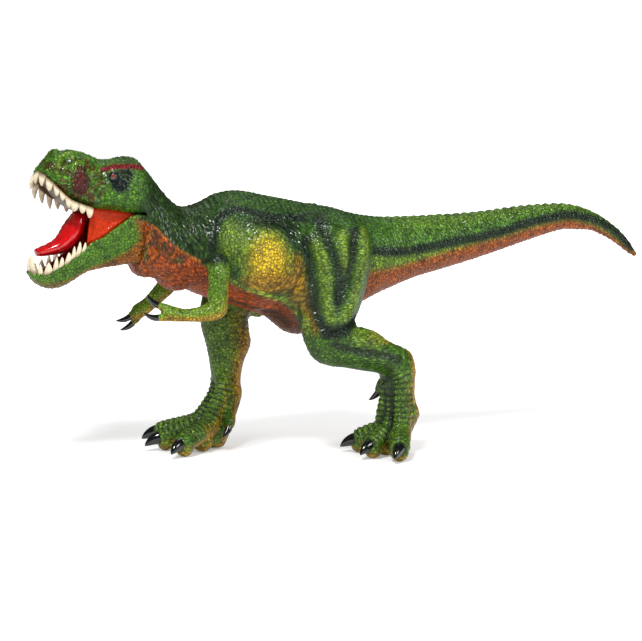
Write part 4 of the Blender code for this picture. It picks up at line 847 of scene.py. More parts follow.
def enamelled(name, colour, roughness, bead, relief, lacquer, mottle, specular=0.5):
    """Brushed-on enamel over moulded PVC: even colour with thin spots, small dents and gloss.
    Without a colour of its own it takes the mesh's paint."""
    material, tree, shader = new_material(name)
    place = add_node(tree, "TexCoord").outputs["Object"]
    noise = add_node(tree, "TexNoise", None,
                     {"Vector": place, "Scale": 1 / (bead * MM), "Detail": 4.0})
    tone = add_node(tree, "MapRange", None, {
        "Value": noise.outputs["Fac"], "From Min": 0.3, "From Max": 0.7,
        "To Min": 1 - mottle, "To Max": 1 + mottle / 2})
    if colour is None:
        colour = add_node(tree, "Attribute", {"attribute_name": "paint"}).outputs["Color"]
    scaled = add_node(tree, "VectorMath", {"operation": "SCALE"},
                      {0: colour, "Scale": tone.outputs["Result"]})
    bump = add_node(tree, "Bump", None,
                    {"Height": noise.outputs["Fac"], "Distance": relief * MM, "Strength": 1.0})
    set_inputs(tree, shader, {
        "Base Color": scaled.outputs["Vector"], "Normal": bump.outputs["Normal"],
        "Roughness": roughness, "Specular IOR Level": specular,
        "Coat Weight": lacquer, "Coat Roughness": 0.06})
    return material


def colour_property(name, hex_colour, description):
    """A colour that a user can change."""
    return bpy.props.FloatVectorProperty(name=name, description=description, subtype="COLOR",
                                         size=3, min=0.0, max=1.0, default=linear(hex_colour))


class FigurePaint(bpy.types.PropertyGroup):
    """Airbrush and enamel colours."""

    back: colour_property("Back", "#3a641c", "Green of the trunk's back and flanks")
    # Green-black also darkens the valleys between scales and toes as painted shade
    dark: colour_property("Stripes", "#19271c", "Green-black of the stripes and valleys")
    neck: colour_property("Neck", "#2d4819", "Dark green of the neck")
    head: colour_property("Head", "#588f20", "Bright green of the head")
    jaw: colour_property("Jaw", "#5f9221", "Bright green of the jaw")
    tail: colour_property("Tail", "#5a8d2d", "Green of the tail")
    leg: colour_property("Legs", "#548224", "Green of the legs")
    # Light green is also sprayed as painted highlights: tail top, far leg, scale tops, foot bands
    light: colour_property("Light green", "#8fb034", "Yellow green of raised muscles")
    arm: colour_property("Arms", "#6f9a28", "Green of the arms")
    belly: colour_property("Belly", "#d65a08", "Orange brown of the belly and throat")
    shade: colour_property("Belly shade", "#5c2e08", "Brown shade in the belly's folds")
    under: colour_property("Tail underside", "#cc6a18", "Orange of the tail's underside")
    patch: colour_property("Flank patch", "#fcd428", "Yellow of the flank patch")
    amber: colour_property("Amber", "#e6a218", "Amber round the patch and on the pads")
    maroon: colour_property("Snout", "#640a0a", "Maroon of the snout spots")
    brow: colour_property("Brow", "#9c1426", "Crimson of the brow ridge")
    socket: colour_property("Eye socket", "#101c1d", "Blue-black of the eye socket")
    tooth: colour_property("Teeth", "#e4d6b8", "Ivory of the teeth")
    # Ivory darkened as painted shade, for the palate, the hanging gum and the teeth's roots
    gum: colour_property("Palate", "#8d7357", "Shaded ivory of the palate")
    mouth: colour_property("Mouth", "#7c0d0b", "Dark red of the mouth")
    tongue: colour_property("Tongue", "#c8040a", "Bright red of the tongue")
    cheek: colour_property("Cheek webs", "#c63206", "Orange red of the cheek webs")
    claw: colour_property("Claws", "#08100f", "Black teal of the claws")


class FigureRelief(bpy.types.PropertyGroup):
    """Sizes of the sculpted relief."""

    scale_size: bpy.props.FloatProperty(
        name="Scale size", description="Width of one skin scale", default=2.1 * MM,
        min=1.0 * MM, max=6.0 * MM, unit="LENGTH", precision=4)
    scale_height: bpy.props.FloatProperty(
        name="Scale height", description="How far a skin scale stands out", default=0.5 * MM,
        min=0.0, max=1.0 * MM, unit="LENGTH", precision=5)
    scute_pitch: bpy.props.FloatProperty(
        name="Scute pitch", description="Spacing of the bands across the toes", default=3.1 * MM,
        min=1.0 * MM, max=8.0 * MM, unit="LENGTH", precision=4)


class FigureStage(bpy.types.PropertyGroup):
    """Camera and lights."""

    azimuth: bpy.props.FloatProperty(
        name="Azimuth", description="Camera's angle round the figure", default=math.radians(-20),
        subtype="ANGLE")
    elevation: bpy.props.FloatProperty(
        name="Elevation", description="Camera's angle above the floor", default=math.radians(6),
        subtype="ANGLE")
    distance: bpy.props.FloatProperty(
        name="Distance", description="Camera's distance from the figure's middle", default=0.95,
        min=0.3, max=5.0, unit="LENGTH")
    lens: bpy.props.FloatProperty(
        name="Lens", description="Focal length in millimetres", default=99.1, min=20.0, max=300.0)
    key: bpy.props.FloatProperty(
        name="Key light", description="Power of the large lamp overhead", default=9.0, min=0.0,
        subtype="POWER")


def leg_axis(stations, side):
    """The middle of each leg station in three dimensions."""
    rows = np.asarray(stations, float)
    return np.column_stack((rows[:, 0], side * rows[:, 1], rows[:, 2]))


def toe_line(stations, side, heading, toe):
    """A toe's middle line with its radii: down the instep, then along the floor to its end."""
    _, splay, length, across_side = toe
    ahead, forward = level_way(heading + side * splay), level_way(heading)
    across = np.array((forward[1], -forward[0], 0.0)) * -side * across_side
    axis = leg_axis(stations, side)[-9:-2]
    points = []
    for height, before, beside, _ in INSTEP:
        level = height + FLOOR
        shank = np.append(columns_at(-level, -axis[:, 2], axis[:, :2]), level)
        points.append(shank + forward * before + across * beside)
    root = axis[-2] * (1, 1, 0) + (0, 0, FLOOR) + ahead * TOE_ROOT_SHARE * length
    for share, height, _ in TOE_STATIONS:
        points.append(root + ahead * share * length + np.array((0, 0, height)))
    radii = [row[3] for row in INSTEP] + [row[2] for row in TOE_STATIONS]
    return spline(np.column_stack((points, radii)), 60), root, ahead


def foot_forms(stations, side, heading, toes):
    """Toe tubes and pad balls of one foot."""
    forms = []
    for toe in toes:
        line, root, ahead = toe_line(stations, side, heading, toe)
        forms.append(tube_rings(line[:, :3], line[:, 3], 20, 1.0, (0.0, 0.0, 1.0)))
        for share, height, radius in PADS:
            knob = root + ahead * share * toe[2] + np.array((0, 0, height))
            forms.append(ball_rings(knob, radius))
    return forms


def hip_fillets():
    """Trunk and thighs fused coarsely and relaxed, which fills the creases between them."""
    rows = spline(SPINE_SECTIONS, 160)
    forms = [egg_rings(rows[(rows[:, 0] > -76) & (rows[:, 0] < 70)], 96)]
    for stations, side in ((LEFT_LEG, -1), (RIGHT_LEG, 1)):
        forms.append(limb_rings(spline(stations, 90)[:42], side, 48))
    points, quads = fuse("fillet_forms", forms, FILLET_VOXEL)
    return relax(points, quads, 80), quads.tolist()


def body_forms():
    """The closed forms that the figure's main skin is fused from."""
    rows = spline(SPINE_SECTIONS, 160)
    hollow = spline(NECK_HOLLOW_SECTIONS, 14)[::-1]
    rings = np.vstack((egg_rings(hollow, 96, 1.0, -NECK_WALL), egg_rings(rows, 96)))
    forms = [rings, egg_rings(spline(SKULL_SECTIONS, 80), 96, 0.85), hip_fillets()]
    for stations, side, heading, toes, spur in FEET:
        forms.append(limb_rings(spline(stations, 90), side, 48))
        forms += foot_forms(stations, side, heading, toes)
        spur_line = spline(np.column_stack((np.array(spur) * (1, side, 1), SPUR_RADII)), 20)
        forms.append(tube_rings(spur_line[:, :3], spur_line[:, 3], 16))
    forms += [ball_rings(place, radius) for place, radius in THROAT_LOBES]
    return forms


def body_strokes(skin):
    """Muscles, folds and grooves of the trunk, thighs and head."""
    skin.stroke(BELLY_HOLLOW, 5.0, -2.4)
    skin.stroke(FLANK_FOLD, 2.0, 1.6)
    for dome in FLANK_DOMES:
        skin.dome(*dome)
    skin.settle()
    skin.stroke(SHOULDER_STRIPE, 0.9, 0.55, beads=1.7)
    skin.stroke(ARC_STRIPE, 1.4, -0.5)
    for line in THIGH_STRIPES:
        skin.stroke(line, 2.6, -1.3, side=-1)
    for line in THIGH_RIDGES:
        skin.stroke(line, 3.2, 1.5, side=-1)
    skin.stroke(KNEE_CREASE, 1.7, -2.2, side=-1)
    skin.dome(*CALF_DOME, side=-1)
    skin.stroke(CALF_STRIPE, 1.8, -0.8, side=-1)
    for line in RIGHT_STRIPES:
        skin.stroke(line, 2.4, -1.1, side=1)
    skin.stroke(THROAT_RIDGE, 1.1, 1.0)
    for line in THROAT_RIDGES:
        skin.stroke(line, 0.9, 0.8)
    for line in BELLY_LINES:
        skin.stroke(line, 0.6, -0.5)
    skin.settle()
    for dome in SOCKET_DOMES:
        skin.dome(*dome)
    skin.stroke(BROW, 1.5, 1.6, beads=3.4, taper=0.05)
    skin.stroke(NOSTRIL_RIM, 0.9, 0.9)
    for dome in SNOUT_DOMES:
        skin.dome(*dome)
    skin.stroke(CHEEK_FOLD, 1.6, -0.9)
    skin.settle()


def folded(points, amount, folded_points):
    """Coordinates that change over from the plain ones to the folded ones where the amount
    passes a half, and a depth that is 0 at the change."""
    chosen = (amount > 0.5)[:, None]
    return np.where(chosen, folded_points, points), np.abs(2 * amount - 1) ** 0.6


def body_patterns(skin, relief):
    """Wrinkles and scales: scattered domes, drawn out along the folds, and waves on the tail.
    The same fold coordinates carry the beads of the paint's shader."""
    x, y, z = skin.points.T
    sideways = np.abs(skin.normals[:, 1])
    upwards = skin.normals[:, 2]
    head = fade(-97, -103, x - 0.25 * (z - 145)) * (z > HEAD_BOTTOM)
    neck = (1 - head) * (1 - fade(-70, -60, x)) * fade(100, 106, z)
    # Rings of wrinkles round the flank's patch, slightly taller than wide
    reach = np.hypot(x - FLANK_CENTRE[0], (z - FLANK_CENTRE[1]) / 1.15)
    turn = np.arctan2(x - FLANK_CENTRE[0], FLANK_CENTRE[1] - z)
    rings = fade(7, 11, reach) * (1 - fade(24, 34, reach)) * (z < 127) * fade(0.1, 0.5, sideways)
    rings = rings * fade(-54, -47, x) * (1 - fade(-19, -14, x)) * (z > 78)
    # Rays round the snout's spot
    from_spot, spot_turn = round_point(x, z, SNOUT_SPOT)
    snout = head * sideways * fade(4, 6, from_spot) * (1 - fade(12, 17, from_spot))
    tail = fade(25, 40, x)
    thigh = fade(-22, -18, x) * (1 - fade(14, 18, x)) * fade(70, 76, z) * (1 - fade(124, 128, z))
    calf = fade(-4, 2, x) * (1 - fade(30, 34, x)) * (z > 40) * (1 - fade(68, 71, z))
    belly = (1 - fade(-78, -70, x)) * (1 - neck) * (1 - head)
    foot = fade(54, 44, z)
    size = relief.scale_size / MM
    wander = cloud(skin.points, 7.0) * 1.2
    slope = 0.35 * (z - 120)
    # Where each kind of fold lies, and the coordinates that draw its scales out along it
    folds = (
        (neck, (1.1 * (x + 0.25 * (z - 130)) + wander, 0.8 * y, 0.45 * z)),
        (snout, (0.5 * from_spot, 9.0 * spot_turn, 0.3 * y)),
        (rings, (1.15 * reach + 0.3 * wander, 8.0 * turn, 0 * x)),
        (tail, (1.1 * (x + slope) + 0.4 * wander, 0.8 * y, 0.62 * z)),
        (np.maximum(thigh, calf) * sideways, (0.45 * x, 0.9 * y, 1.2 * z + wander)),
        (belly, (0.6 * x, y, z + wander)))
    dome = scale_domes(skin.points, size, 3)
    grain, depth = skin.points.copy(), np.ones(len(x))
    for number, (amount, coordinates) in enumerate(folds):
        chosen = amount > 0.02
        place, amount = np.column_stack(coordinates)[chosen], amount[chosen]
        dome[chosen] += (scale_domes(place, size, 10 + number) - dome[chosen]) * amount
        grain[chosen], change = folded(grain[chosen], amount, place)
        depth[chosen] = np.minimum(depth[chosen], change)
    skin.grain, skin.depth = grain, depth * (1 - 0.7 * foot) * (1 - 0.3 * neck)
    height = relief.scale_height / MM
    skin.swell(height * (dome - 0.45) * (1 - 0.75 * foot) * (1 + 0.4 * head))
    # Large bumps along the tail's ridge, fine rings round its sides
    crest = fade(0.2, 0.9, upwards) * (1 - fade(150, 175, x))
    strong = 0.4 + 0.6 * fade(52, 66, x) * (1 - fade(135, 150, x))
    skin.swell(0.5 * strong * tail * crest * np.cos(2 * math.pi * (x + 0.3 * (z - 120)) / 5.1))
    wave = np.sin(2 * math.pi * (x + slope + 0.3 * wander) / 2.55)
    skin.swell(0.14 * tail * (1 - crest) * wave)
    # Small bumps along the back and on the skull's roof
    spine = (1 - tail) * (1 - head) * fade(0.5, 0.95, upwards) * fade(96, 104, z)
    skin.swell(0.22 * spine * np.cos(2 * math.pi * x / 2.9))
    bony = head * fade(0.5, 0.9, upwards) * fade(-118, -112, x)
    skin.swell(0.25 * bony * np.cos(2 * math.pi * x / 2.7))
    return dome


def foot_relief(skin, stations, side, heading, toes, relief, colours):
    """Bands across the toes and the instep, with painted shade in their grooves and in the valleys
    between the toes, and painted highlights on the bands' upward crests.
    """
    near = (skin.points[:, 2] < 56) & (side * skin.points[:, 1] > 0)
    here = skin.points[near]
    gaps, spans, tops = [], [], []
    for toe in toes:
        line, _, ahead = toe_line(stations, side, heading, toe)
        gap, place = nearest_on(line[:, :3], here)
        gaps.append(gap / np.interp(place, np.arange(len(line)), line[:, 3]))
        spans.append(np.interp(place, np.arange(len(line)), run_along(line[:, :3])))
        tops.append(skin.normals[near] @ (ahead * 0.6 + np.array((0, 0, 0.8))))
    order = np.argsort(gaps, axis=0)
    first, second = np.take_along_axis(np.array(gaps), order[:2], 0)
    span, top = (np.take_along_axis(np.array(rows), order[:1], 0)[0] for rows in (spans, tops))
    limit = 54.0 if side < 0 else 44.0
    on_ridge = (1 - fade(1.15, 1.5, first)) * fade(limit, limit - 9.0, here[:, 2])
    valley = (1 - fade(0.05, 0.45, second - first)) * fade(-0.2, 0.3, top) * on_ridge
    band = np.abs(np.sin(math.pi * span / (relief.scute_pitch / MM))) ** 0.6
    upper = fade(-0.05, 0.45, top) * on_ridge
    skin.swell(spread(near, 0.95 * (band - 0.6) * upper * (1 - 0.6 * valley) - 0.9 * valley))
    # Painted shade in the grooves and valleys, painted highlights on the upward-facing band crests
    groove_shade = np.clip(valley + 0.8 * (1 - band) * upper, 0, 1)
    skin.spray(colours.dark, 0.9 * spread(near, groove_shade))
    skin.spray(colours.light, spread(near, 0.45 * fade(0.6, 1.0, band) * upper * (1 - valley)))


def leg_share(skin, stations, side):
    """How much each point belongs to a leg, and its place along it in station numbers."""
    axis = leg_axis(stations, side)
    gap, place = nearest_on(axis, skin.points, 30.0)
    row = rows_at(stations, place)
    off = skin.points - rows_at(axis, place)
    tilt = np.radians(row[:, 3])
    along = off[:, 0] * np.cos(tilt) + off[:, 2] * np.sin(tilt)
    ratio = np.sqrt((along / row[:, 4]) ** 2 + (off[:, 1] / row[:, 5]) ** 2)
    # The shank's stations are narrower than the foot's knobs
    ratio = np.where(place > len(stations) - 7, 0.5 * ratio, ratio)
    return (1 - fade(1.05, 1.25, ratio)) * np.isfinite(gap), place


def below(points, line, soft):
    """1 well under a side-view line of x and z, 0 above it, fading over a soft height."""
    line = np.asarray(line, float)
    return fade(-soft, soft, np.interp(points[:, 0], line[:, 0], line[:, 1]) - points[:, 2])


def throat_paint(skin, colours, share=1.0):
    """Orange brown throat and belly under the fold line, with a net of orange ridges round
    olive hollows, and the light rim of the fold. Painted shade darkens the hollows, the belly's
    creases and its lower lobe."""
    x, _, z = skin.points.T
    under = below(skin.points, BELLY_EDGE, 1.4) * (1 - fade(16, 26, x)) * share
    skin.brush(FLANK_FOLD, 2.0, colours.light, 0.85)
    skin.spray(colours.belly, under)
    skin.spray(colours.shade, under * fade(-0.1, 0.6, cloud(skin.points, 6.0, 11)) * 0.4)
    # Painted shade on the lower lobe of the belly
    skin.spray(colours.shade, under * fade(-42, -30, x) * fade(84, 76, z) * 0.7)
    throat = under * (1 - fade(-80, -70, x))
    skin.spray(colours.under, throat * fade(0.1, 0.6, cloud(skin.points, 4.0, 33)) * 0.5)
    olive = 0.5 * (np.array(colours.shade) + colours.light)
    flecks = fade(-0.2, 0.5, cloud(skin.points * (1, 1, 0.5), 1.6, 17))[:, None]
    # Painted shade in the hollows between the ridges, flecked with olive
    for centre, radii in THROAT_HOLLOWS:
        skin.patch(centre, radii, colours.shade, 0.8, edge=0.6)
        before = skin.paint
        skin.patch(centre, np.array(radii) * 0.7, olive, 0.8, edge=0.8)
        skin.paint = before + (skin.paint - before) * flecks
    for ridge in (THROAT_RIDGE, *THROAT_RIDGES):
        skin.brush(ridge, 0.8, colours.under, 0.75, soft=0.8)
    # Painted shade in the belly's creases
    for crease in BELLY_LINES:
        skin.brush(crease, 0.8, colours.shade, 0.9)


def body_paint(skin, colours):
    """Airbrush the trunk, tail, head and legs, from the large zones to the stripes."""
    x, _, z = skin.points.T
    upwards = skin.normals[:, 2]
    left, left_place = leg_share(skin, LEFT_LEG, -1)
    right, right_place = leg_share(skin, RIGHT_LEG, 1)
    trunk = 1 - np.maximum(left, right)
    skin.spray(colours.tail, fade(10, 40, x))
    skin.spray(colours.neck, (1 - fade(-72, -55, x)) * fade(-104, -96, x) * 0.9)
    # Painted highlight: the tail's upward-facing top is lightened
    skin.spray(colours.light, 0.35 * fade(30, 55, x) * fade(0.3, 0.9, upwards))
    skin.spray(colours.dark, 0.5 * np.exp(-(((x + 36) / 26) ** 2 + ((z - 124) / 6) ** 2)))
    skin.brush(FLANK_AMBER, 4.2, colours.amber, 0.5, side=-1, soft=0.9)
    for centre, radii, colour, strength, edge in FLANK_SPOTS:
        skin.patch(centre, radii, getattr(colours, colour), strength, edge=edge)
    skin.brush(ARC_STRIPE, 3.0, colours.dark, 0.7)
    skin.brush(SHOULDER_STRIPE, 1.7, colours.dark, 0.95)
    skin.brush(HIP_DASH, 2.0, colours.dark, 0.8)
    throat_paint(skin, colours, trunk)
    behind = fade(8, 20, x) * trunk
    tail_under = below(skin.points, TAIL_ORANGE, 2.5) * behind
    lit = below(skin.points, np.array(TAIL_STRIPE) - (0, 2), 3.0)
    skin.spray(colours.light, 0.8 * lit * behind)
    skin.spray(colours.under, tail_under)
    skin.spray(colours.belly, tail_under * fade(-0.2, -0.9, upwards) * 0.5)
    skin.brush(TAIL_STRIPE, 2.6, colours.dark, 0.95)
    leg_paint(skin, colours, left, left_place, -1)
    leg_paint(skin, colours, right, right_place, 1)
    head_paint(skin, colours)


def leg_paint(skin, colours, share, place, side):
    """Green legs with light muscles and dark stripes, and amber heels and pads. The far, right
    leg is lightened all over as painted light, and on its lower rear as a painted highlight.
    """
    x, y, z = skin.points.T
    backwards, upwards = skin.normals[:, 0], skin.normals[:, 2]
    share = share * (side * y > 0)
    front = fade(-21, -14, x + 0.15 * (z - 84)) if side < 0 else 1.0
    skin.spray(colours.leg, share * fade(0.6, 2.2, place) * np.maximum(front, 1 - fade(62, 76, z)))
    for line in THIGH_RIDGES if side < 0 else ():
        skin.brush(line, 3.0, colours.light, 0.75, side=side)
    for line in THIGH_STRIPES if side < 0 else RIGHT_STRIPES:
        skin.brush(line, 2.6, colours.dark, 0.88, side=side, soft=0.75)
    if side < 0:
        skin.patch((14, 67), (12, 6), colours.light, 0.7, side=side)
        skin.brush(KNEE_CREASE, 2.6, colours.dark, 0.9, side=side)
        skin.brush(CALF_STRIPE, 1.8, colours.dark, 0.8, side=side)
        skin.patch((-6, 70.5), (8.5, 4.5), colours.dark, 0.85, side=side, edge=0.5)
        back = fade(0.35, 0.85, backwards)
    else:
        # Painted light: the whole far leg is lightened
        skin.spray(colours.light, share * 0.35)
        warm = (1 - fade(80, 92, z)) * fade(-0.3, 0.5, backwards)
        skin.spray(colours.amber, share * warm * 0.45)
        # Painted highlight on the far leg's lower rear
        lit = (1 - fade(70, 84, z)) * fade(-0.2, 0.6, backwards)
        skin.spray(colours.light, share * lit * 0.6)
        skin.brush(REAR_LINE, 1.3, colours.dark, 0.8)
        back = fade(0.05, 0.6, backwards)
    skin.spray(colours.amber, share * (1 - fade(60, 74, z)) * back * 0.8)
    foot = (side * y > 0) * (1 - fade(24, 40, z)) * (z < 44)
    skin.spray(colours.leg, foot)
    skin.spray(colours.light, foot * (1 - fade(3, 11, z)) * 0.8)
    skin.spray(colours.amber, foot * fade(0.0, -0.6, upwards) * 0.6)
    skin.spray(colours.amber, share * (1 - fade(46, 58, z)) * back * 0.6)


def head_paint(skin, colours):
    """Bright green head with maroon snout spots, crimson brow and dark eye socket."""
    x, y, z = skin.points.T
    head = (1 - fade(-106, -97, x - 0.25 * (z - 145))) * (z > HEAD_BOTTOM)
    skin.spray(colours.head, head)
    top = head * fade(0.55, 0.95, skin.normals[:, 2])
    skin.spray(colours.dark, top * 0.45 * fade(-128, -110, x))
    skin.patch((-113.9, 148.0), (5.0, 5.6), colours.socket, edge=0.25)
    shadow = 0.5 * (np.array(colours.socket) + colours.neck)
    skin.patch((-110.2, 151.6), (4.0, 3.6), shadow, edge=0.3)
    skin.brush(BROW, 1.3, colours.brow, soft=0.3)
    skin.brush(NOSTRIL_RIM, 1.0, colours.light, 0.7)
    skin.patch(SNOUT_SPOT, (4.4, 7.0), colours.maroon)
    # Streaks that run out from the spot
    reach, turn = round_point(x, z, SNOUT_SPOT)
    streaks = cloud(np.column_stack((reach * 0.45, turn * 9.0, np.sign(y) * 40)), 1.1, 5)
    zone = (1 - fade(9.5, 15.5, reach)) * fade(0.1, 0.6, np.abs(skin.normals[:, 1]))
    skin.spray(colours.maroon, 0.8 * zone * fade(-0.2, 0.2, streaks))
    tip = fade(-143, -148, x) * fade(0.0, 0.5, cloud(skin.points, 3.0, 12))
    skin.spray(colours.maroon, 0.75 * tip * head)


def build_body(colours, relief):
    """Fuse, sculpt and paint the main skin, and part it into head, trunk, tail and legs."""
    points, quads = fuse("skin_forms", body_forms(), BODY_VOXEL)
    points = relax(points, quads, 6)
    skin = Skin(points, quads, colours.back)
    # More relaxing at the thighs' seams and the nape, and a shallow step behind the jaw
    legs = np.maximum(leg_share(skin, LEFT_LEG, -1)[0], leg_share(skin, RIGHT_LEG, 1)[0])
    seam = 4 * legs * (1 - legs) * (points[:, 2] > 62)
    x = points[:, 0]
    neck = fade(-112, -104, x) * (1 - fade(-92, -84, x)) * (points[:, 2] > HEAD_BOTTOM)
    points = relax(points, quads, 40, np.maximum(np.sqrt(seam), neck))
    x, y, z = points.T
    rim = fade(-91, -101, x) * fade(133, 127, z) * fade(16.4, 17.6, np.abs(y))
    points[:, 1] -= np.sign(y) * 2.0 * rim
    skin.points = points
    skin.settle()
    body_strokes(skin)
    body_paint(skin, colours)
    for stations, side, heading, toes, _ in FEET:
        foot_relief(skin, stations, side, heading, toes, relief, colours)
    skin.settle()
    # Darker paint in the valleys between the scales, painted shade as well as a dark wash, and
    # lighter paint on the tops of the green scales, painted highlights as well as dry-brushing
    dome = body_patterns(skin, relief)
    skin.spray(colours.dark, 0.55 * (1 - fade(0.05, 0.5, dome)))
    green = fade(0.01, 0.08, skin.paint[:, 1] - skin.paint[:, 0])
    skin.spray(colours.light, 0.35 * green * fade(0.45, 0.9, dome))
    skin.settle()
    x, y, z = skin.points[skin.quads].mean(axis=1).T
    is_head = (x - 0.3 * (z - 140) < -101) & (z > HEAD_BOTTOM)
    is_tail = x > TAIL_START
    is_hip = (x > HIP_START) & ~is_tail
    low = (z < LEG_TOP) & ~is_head & ~is_tail
    vinyl = airbrushed_vinyl("airbrushed_soft_pvc", 1.5, 0.58)
    for name, chosen, slot, node in (
            ("head_skin", is_head, "head_vinyl", "head_shell"),
            ("trunk_skin", ~(is_head | is_hip | is_tail | low), "body_vinyl", "trunk_shell"),
            ("hip_skin", is_hip & ~low, "body_vinyl", "trunk_shell"),
            ("tail_skin", is_tail, "tail_vinyl", "tail_shell"),
            ("leg_left_skin", low & (y < 0), "leg_vinyl", "leg_left"),
            ("leg_right_skin", low & (y >= 0), "leg_vinyl", "leg_right")):
        show(skin_mesh(name, skin, chosen), vinyl, "root", (node,))


def jaw_rings(rows, points):
    """A trough on a grid of place and turn: the outer half runs from one rim down round the keel
    to the other rim, and the inner half runs back inside it, one wall away."""
    outer = np.linspace(0, math.pi, points)
    inner = outer[::-1]
    rim, keel, half = rows[:, 0:2], rows[:, 2:4], rows[:, 4:5]
    depth = keel - rim
    length = np.linalg.norm(depth, axis=1)[:, None]
    wall = np.minimum(JAW_WALL, half * 0.4)
    down = np.concatenate((np.broadcast_to(np.sin(outer) ** 0.8, (len(rows), points)),
                           np.sin(inner) ** 0.8 * (1 - wall / length)), axis=1)
    side = rim[:, None] + depth[:, None] * down[..., None]
    y = np.concatenate((half * squared(np.cos(outer), 0.62),
                        (half - wall) * squared(np.cos(inner), 0.62)), axis=1)
    return np.stack((side[..., 0], y, side[..., 1]), axis=-1)


def build_jaw(colours, relief):
    """The lower jaw: a beaded green trough with a rounded lip."""
    forms = [jaw_rings(spline(JAW_SECTIONS, 90), 60)]
    points, quads = fuse("jaw_forms", forms, JAW_VOXEL)
    skin = Skin(relax(points, quads, 6), quads, colours.neck)
    x, y, z = skin.points.T
    rim = spline(np.array(JAW_SECTIONS)[:, :2], 60)
    gap, _ = nearest_on(rim, skin.points[:, (0, 2)])
    skin.swell(0.5 * np.exp(-(gap / 1.6) ** 2))
    skin.stroke(THROAT_RIDGES[0], 0.9, 0.7)
    skin.settle()
    dome = scale_domes(skin.points, 1.9, 5)
    skin.swell(relief.scale_height / MM * (dome - 0.4))
    throat_paint(skin, colours)
    upwards = skin.normals[:, 2]
    skin.spray(colours.jaw, 1 - fade(-106.0, -98.0, x + 0.22 * (z - 118)))
    low = below(skin.points, JAW_EDGE, 2.0)
    skin.spray(colours.under, low * 0.7 * fade(0.75, -0.3, upwards) * fade(-150, -125, x))
    skin.spray(colours.under, low * 0.5 * fade(0.4, -0.6, upwards))
    skin.spray(colours.dark, 0.45 * low * fade(0.0, 0.6, cloud(skin.points, 5.0, 21)))
    inner = fade(0.2, -0.2, skin.normals[:, 1] * np.sign(y)) * fade(-0.3, -0.1, upwards)
    skin.spray(colours.mouth, inner * fade(0.8, 2.6, gap))
    # Darker paint in the valleys between the scales: painted shade as well as a dark wash
    skin.spray(colours.dark, 0.45 * (1 - fade(0.05, 0.5, dome)))
    skin.settle()
    vinyl = airbrushed_vinyl("airbrushed_jaw_pvc", 1.5, 0.5)
    show(skin_mesh("lower_jaw_skin", skin), vinyl, "jaw", ("lower_jaw",))


def finger_line(finger, side):
    """A finger's middle line and direction from its root, pitch and yaw."""
    x, y, z, pitch, yaw = finger
    pitch, yaw = math.radians(pitch), math.radians(yaw) * side
    ahead = unit(np.array((-math.cos(pitch) * math.cos(yaw), math.sin(yaw), math.sin(pitch))))
    root = np.array((x, side * y, z))
    return root + ahead * np.linspace(-0.3, 1.0, 4)[:, None] * FINGER_LENGTH, ahead


def build_arm(name, side, stations, fingers, body, colours):
    """One arm with two fingers: light green, beaded, with a dark seat at the shoulder."""
    cap = np.array((SHOULDER[0] + CAP_OFFSET[0], side * CAP_SIDE, SHOULDER[1] + CAP_OFFSET[1]))
    forms = [limb_rings(spline(stations, 70), side, 40), ball_rings(cap, CAP_RADIUS, 40)]
    radii = spline(np.array(FINGER_RADII)[:, None], 14)[:, 0]
    for finger in fingers:
        forms.append(tube_rings(spline(finger_line(finger, side)[0], 14), radii, 16))
    points, quads = fuse(name, forms, ARM_VOXEL)
    skin = Skin(relax(points, quads, 8), quads, colours.arm)
    dome = scale_domes(skin.points, 1.7, 9)
    skin.swell(0.26 * (dome - 0.4))
    z = skin.points[:, 2]
    skin.spray(colours.light, 0.6 * (1 - fade(84, 92, z)))
    skin.spray(colours.amber, 0.75 * fade(0.2, -0.7, skin.normals[:, 2]) * (1 - fade(86, 94, z)))
    skin.spray(colours.amber, 0.6 * fade(0.3, 0.9, skin.normals[:, 0]) * (1 - fade(92, 104, z)))
    ragged = z - cap[2] + 0.8 * cloud(skin.points, 2.5, 15)
    skin.spray(colours.dark, 0.95 * fade(-1.5, 2.5, ragged))
    # Darker paint in the valleys between the scales: painted shade as well as a dark wash
    skin.spray(colours.dark, 0.45 * (1 - fade(0.05, 0.5, dome)))
    skin.settle()
    vinyl = airbrushed_vinyl(name + "_pvc", 1.4, 0.36)
    show(skin_mesh(name + "_skin", skin), vinyl, body, (name,))


def claw_rings(base, ahead, down, size):
    """A claw on a grid of place and turn: its middle runs ahead and drops as the square of the
    way, and its radius falls as (1 - way^1.9) to the 0.7."""
    length, radius = size
    way = np.linspace(0, 1, 22)
    line = base + (np.outer(-0.22 + 1.22 * way, ahead) + np.outer(0.52 * way ** 2, down)) * length
    radii = radius * np.maximum((1 - way ** 1.9), 0.015) ** 0.7
    return tube_rings(line, radii, 18, 0.85, np.cross(np.cross(ahead, down), ahead))


def hooked(ahead):
    """The way down that a rear or finger claw hooks, square to the way it points."""
    return unit(np.cross(ahead, (0, -1.0, 0)))


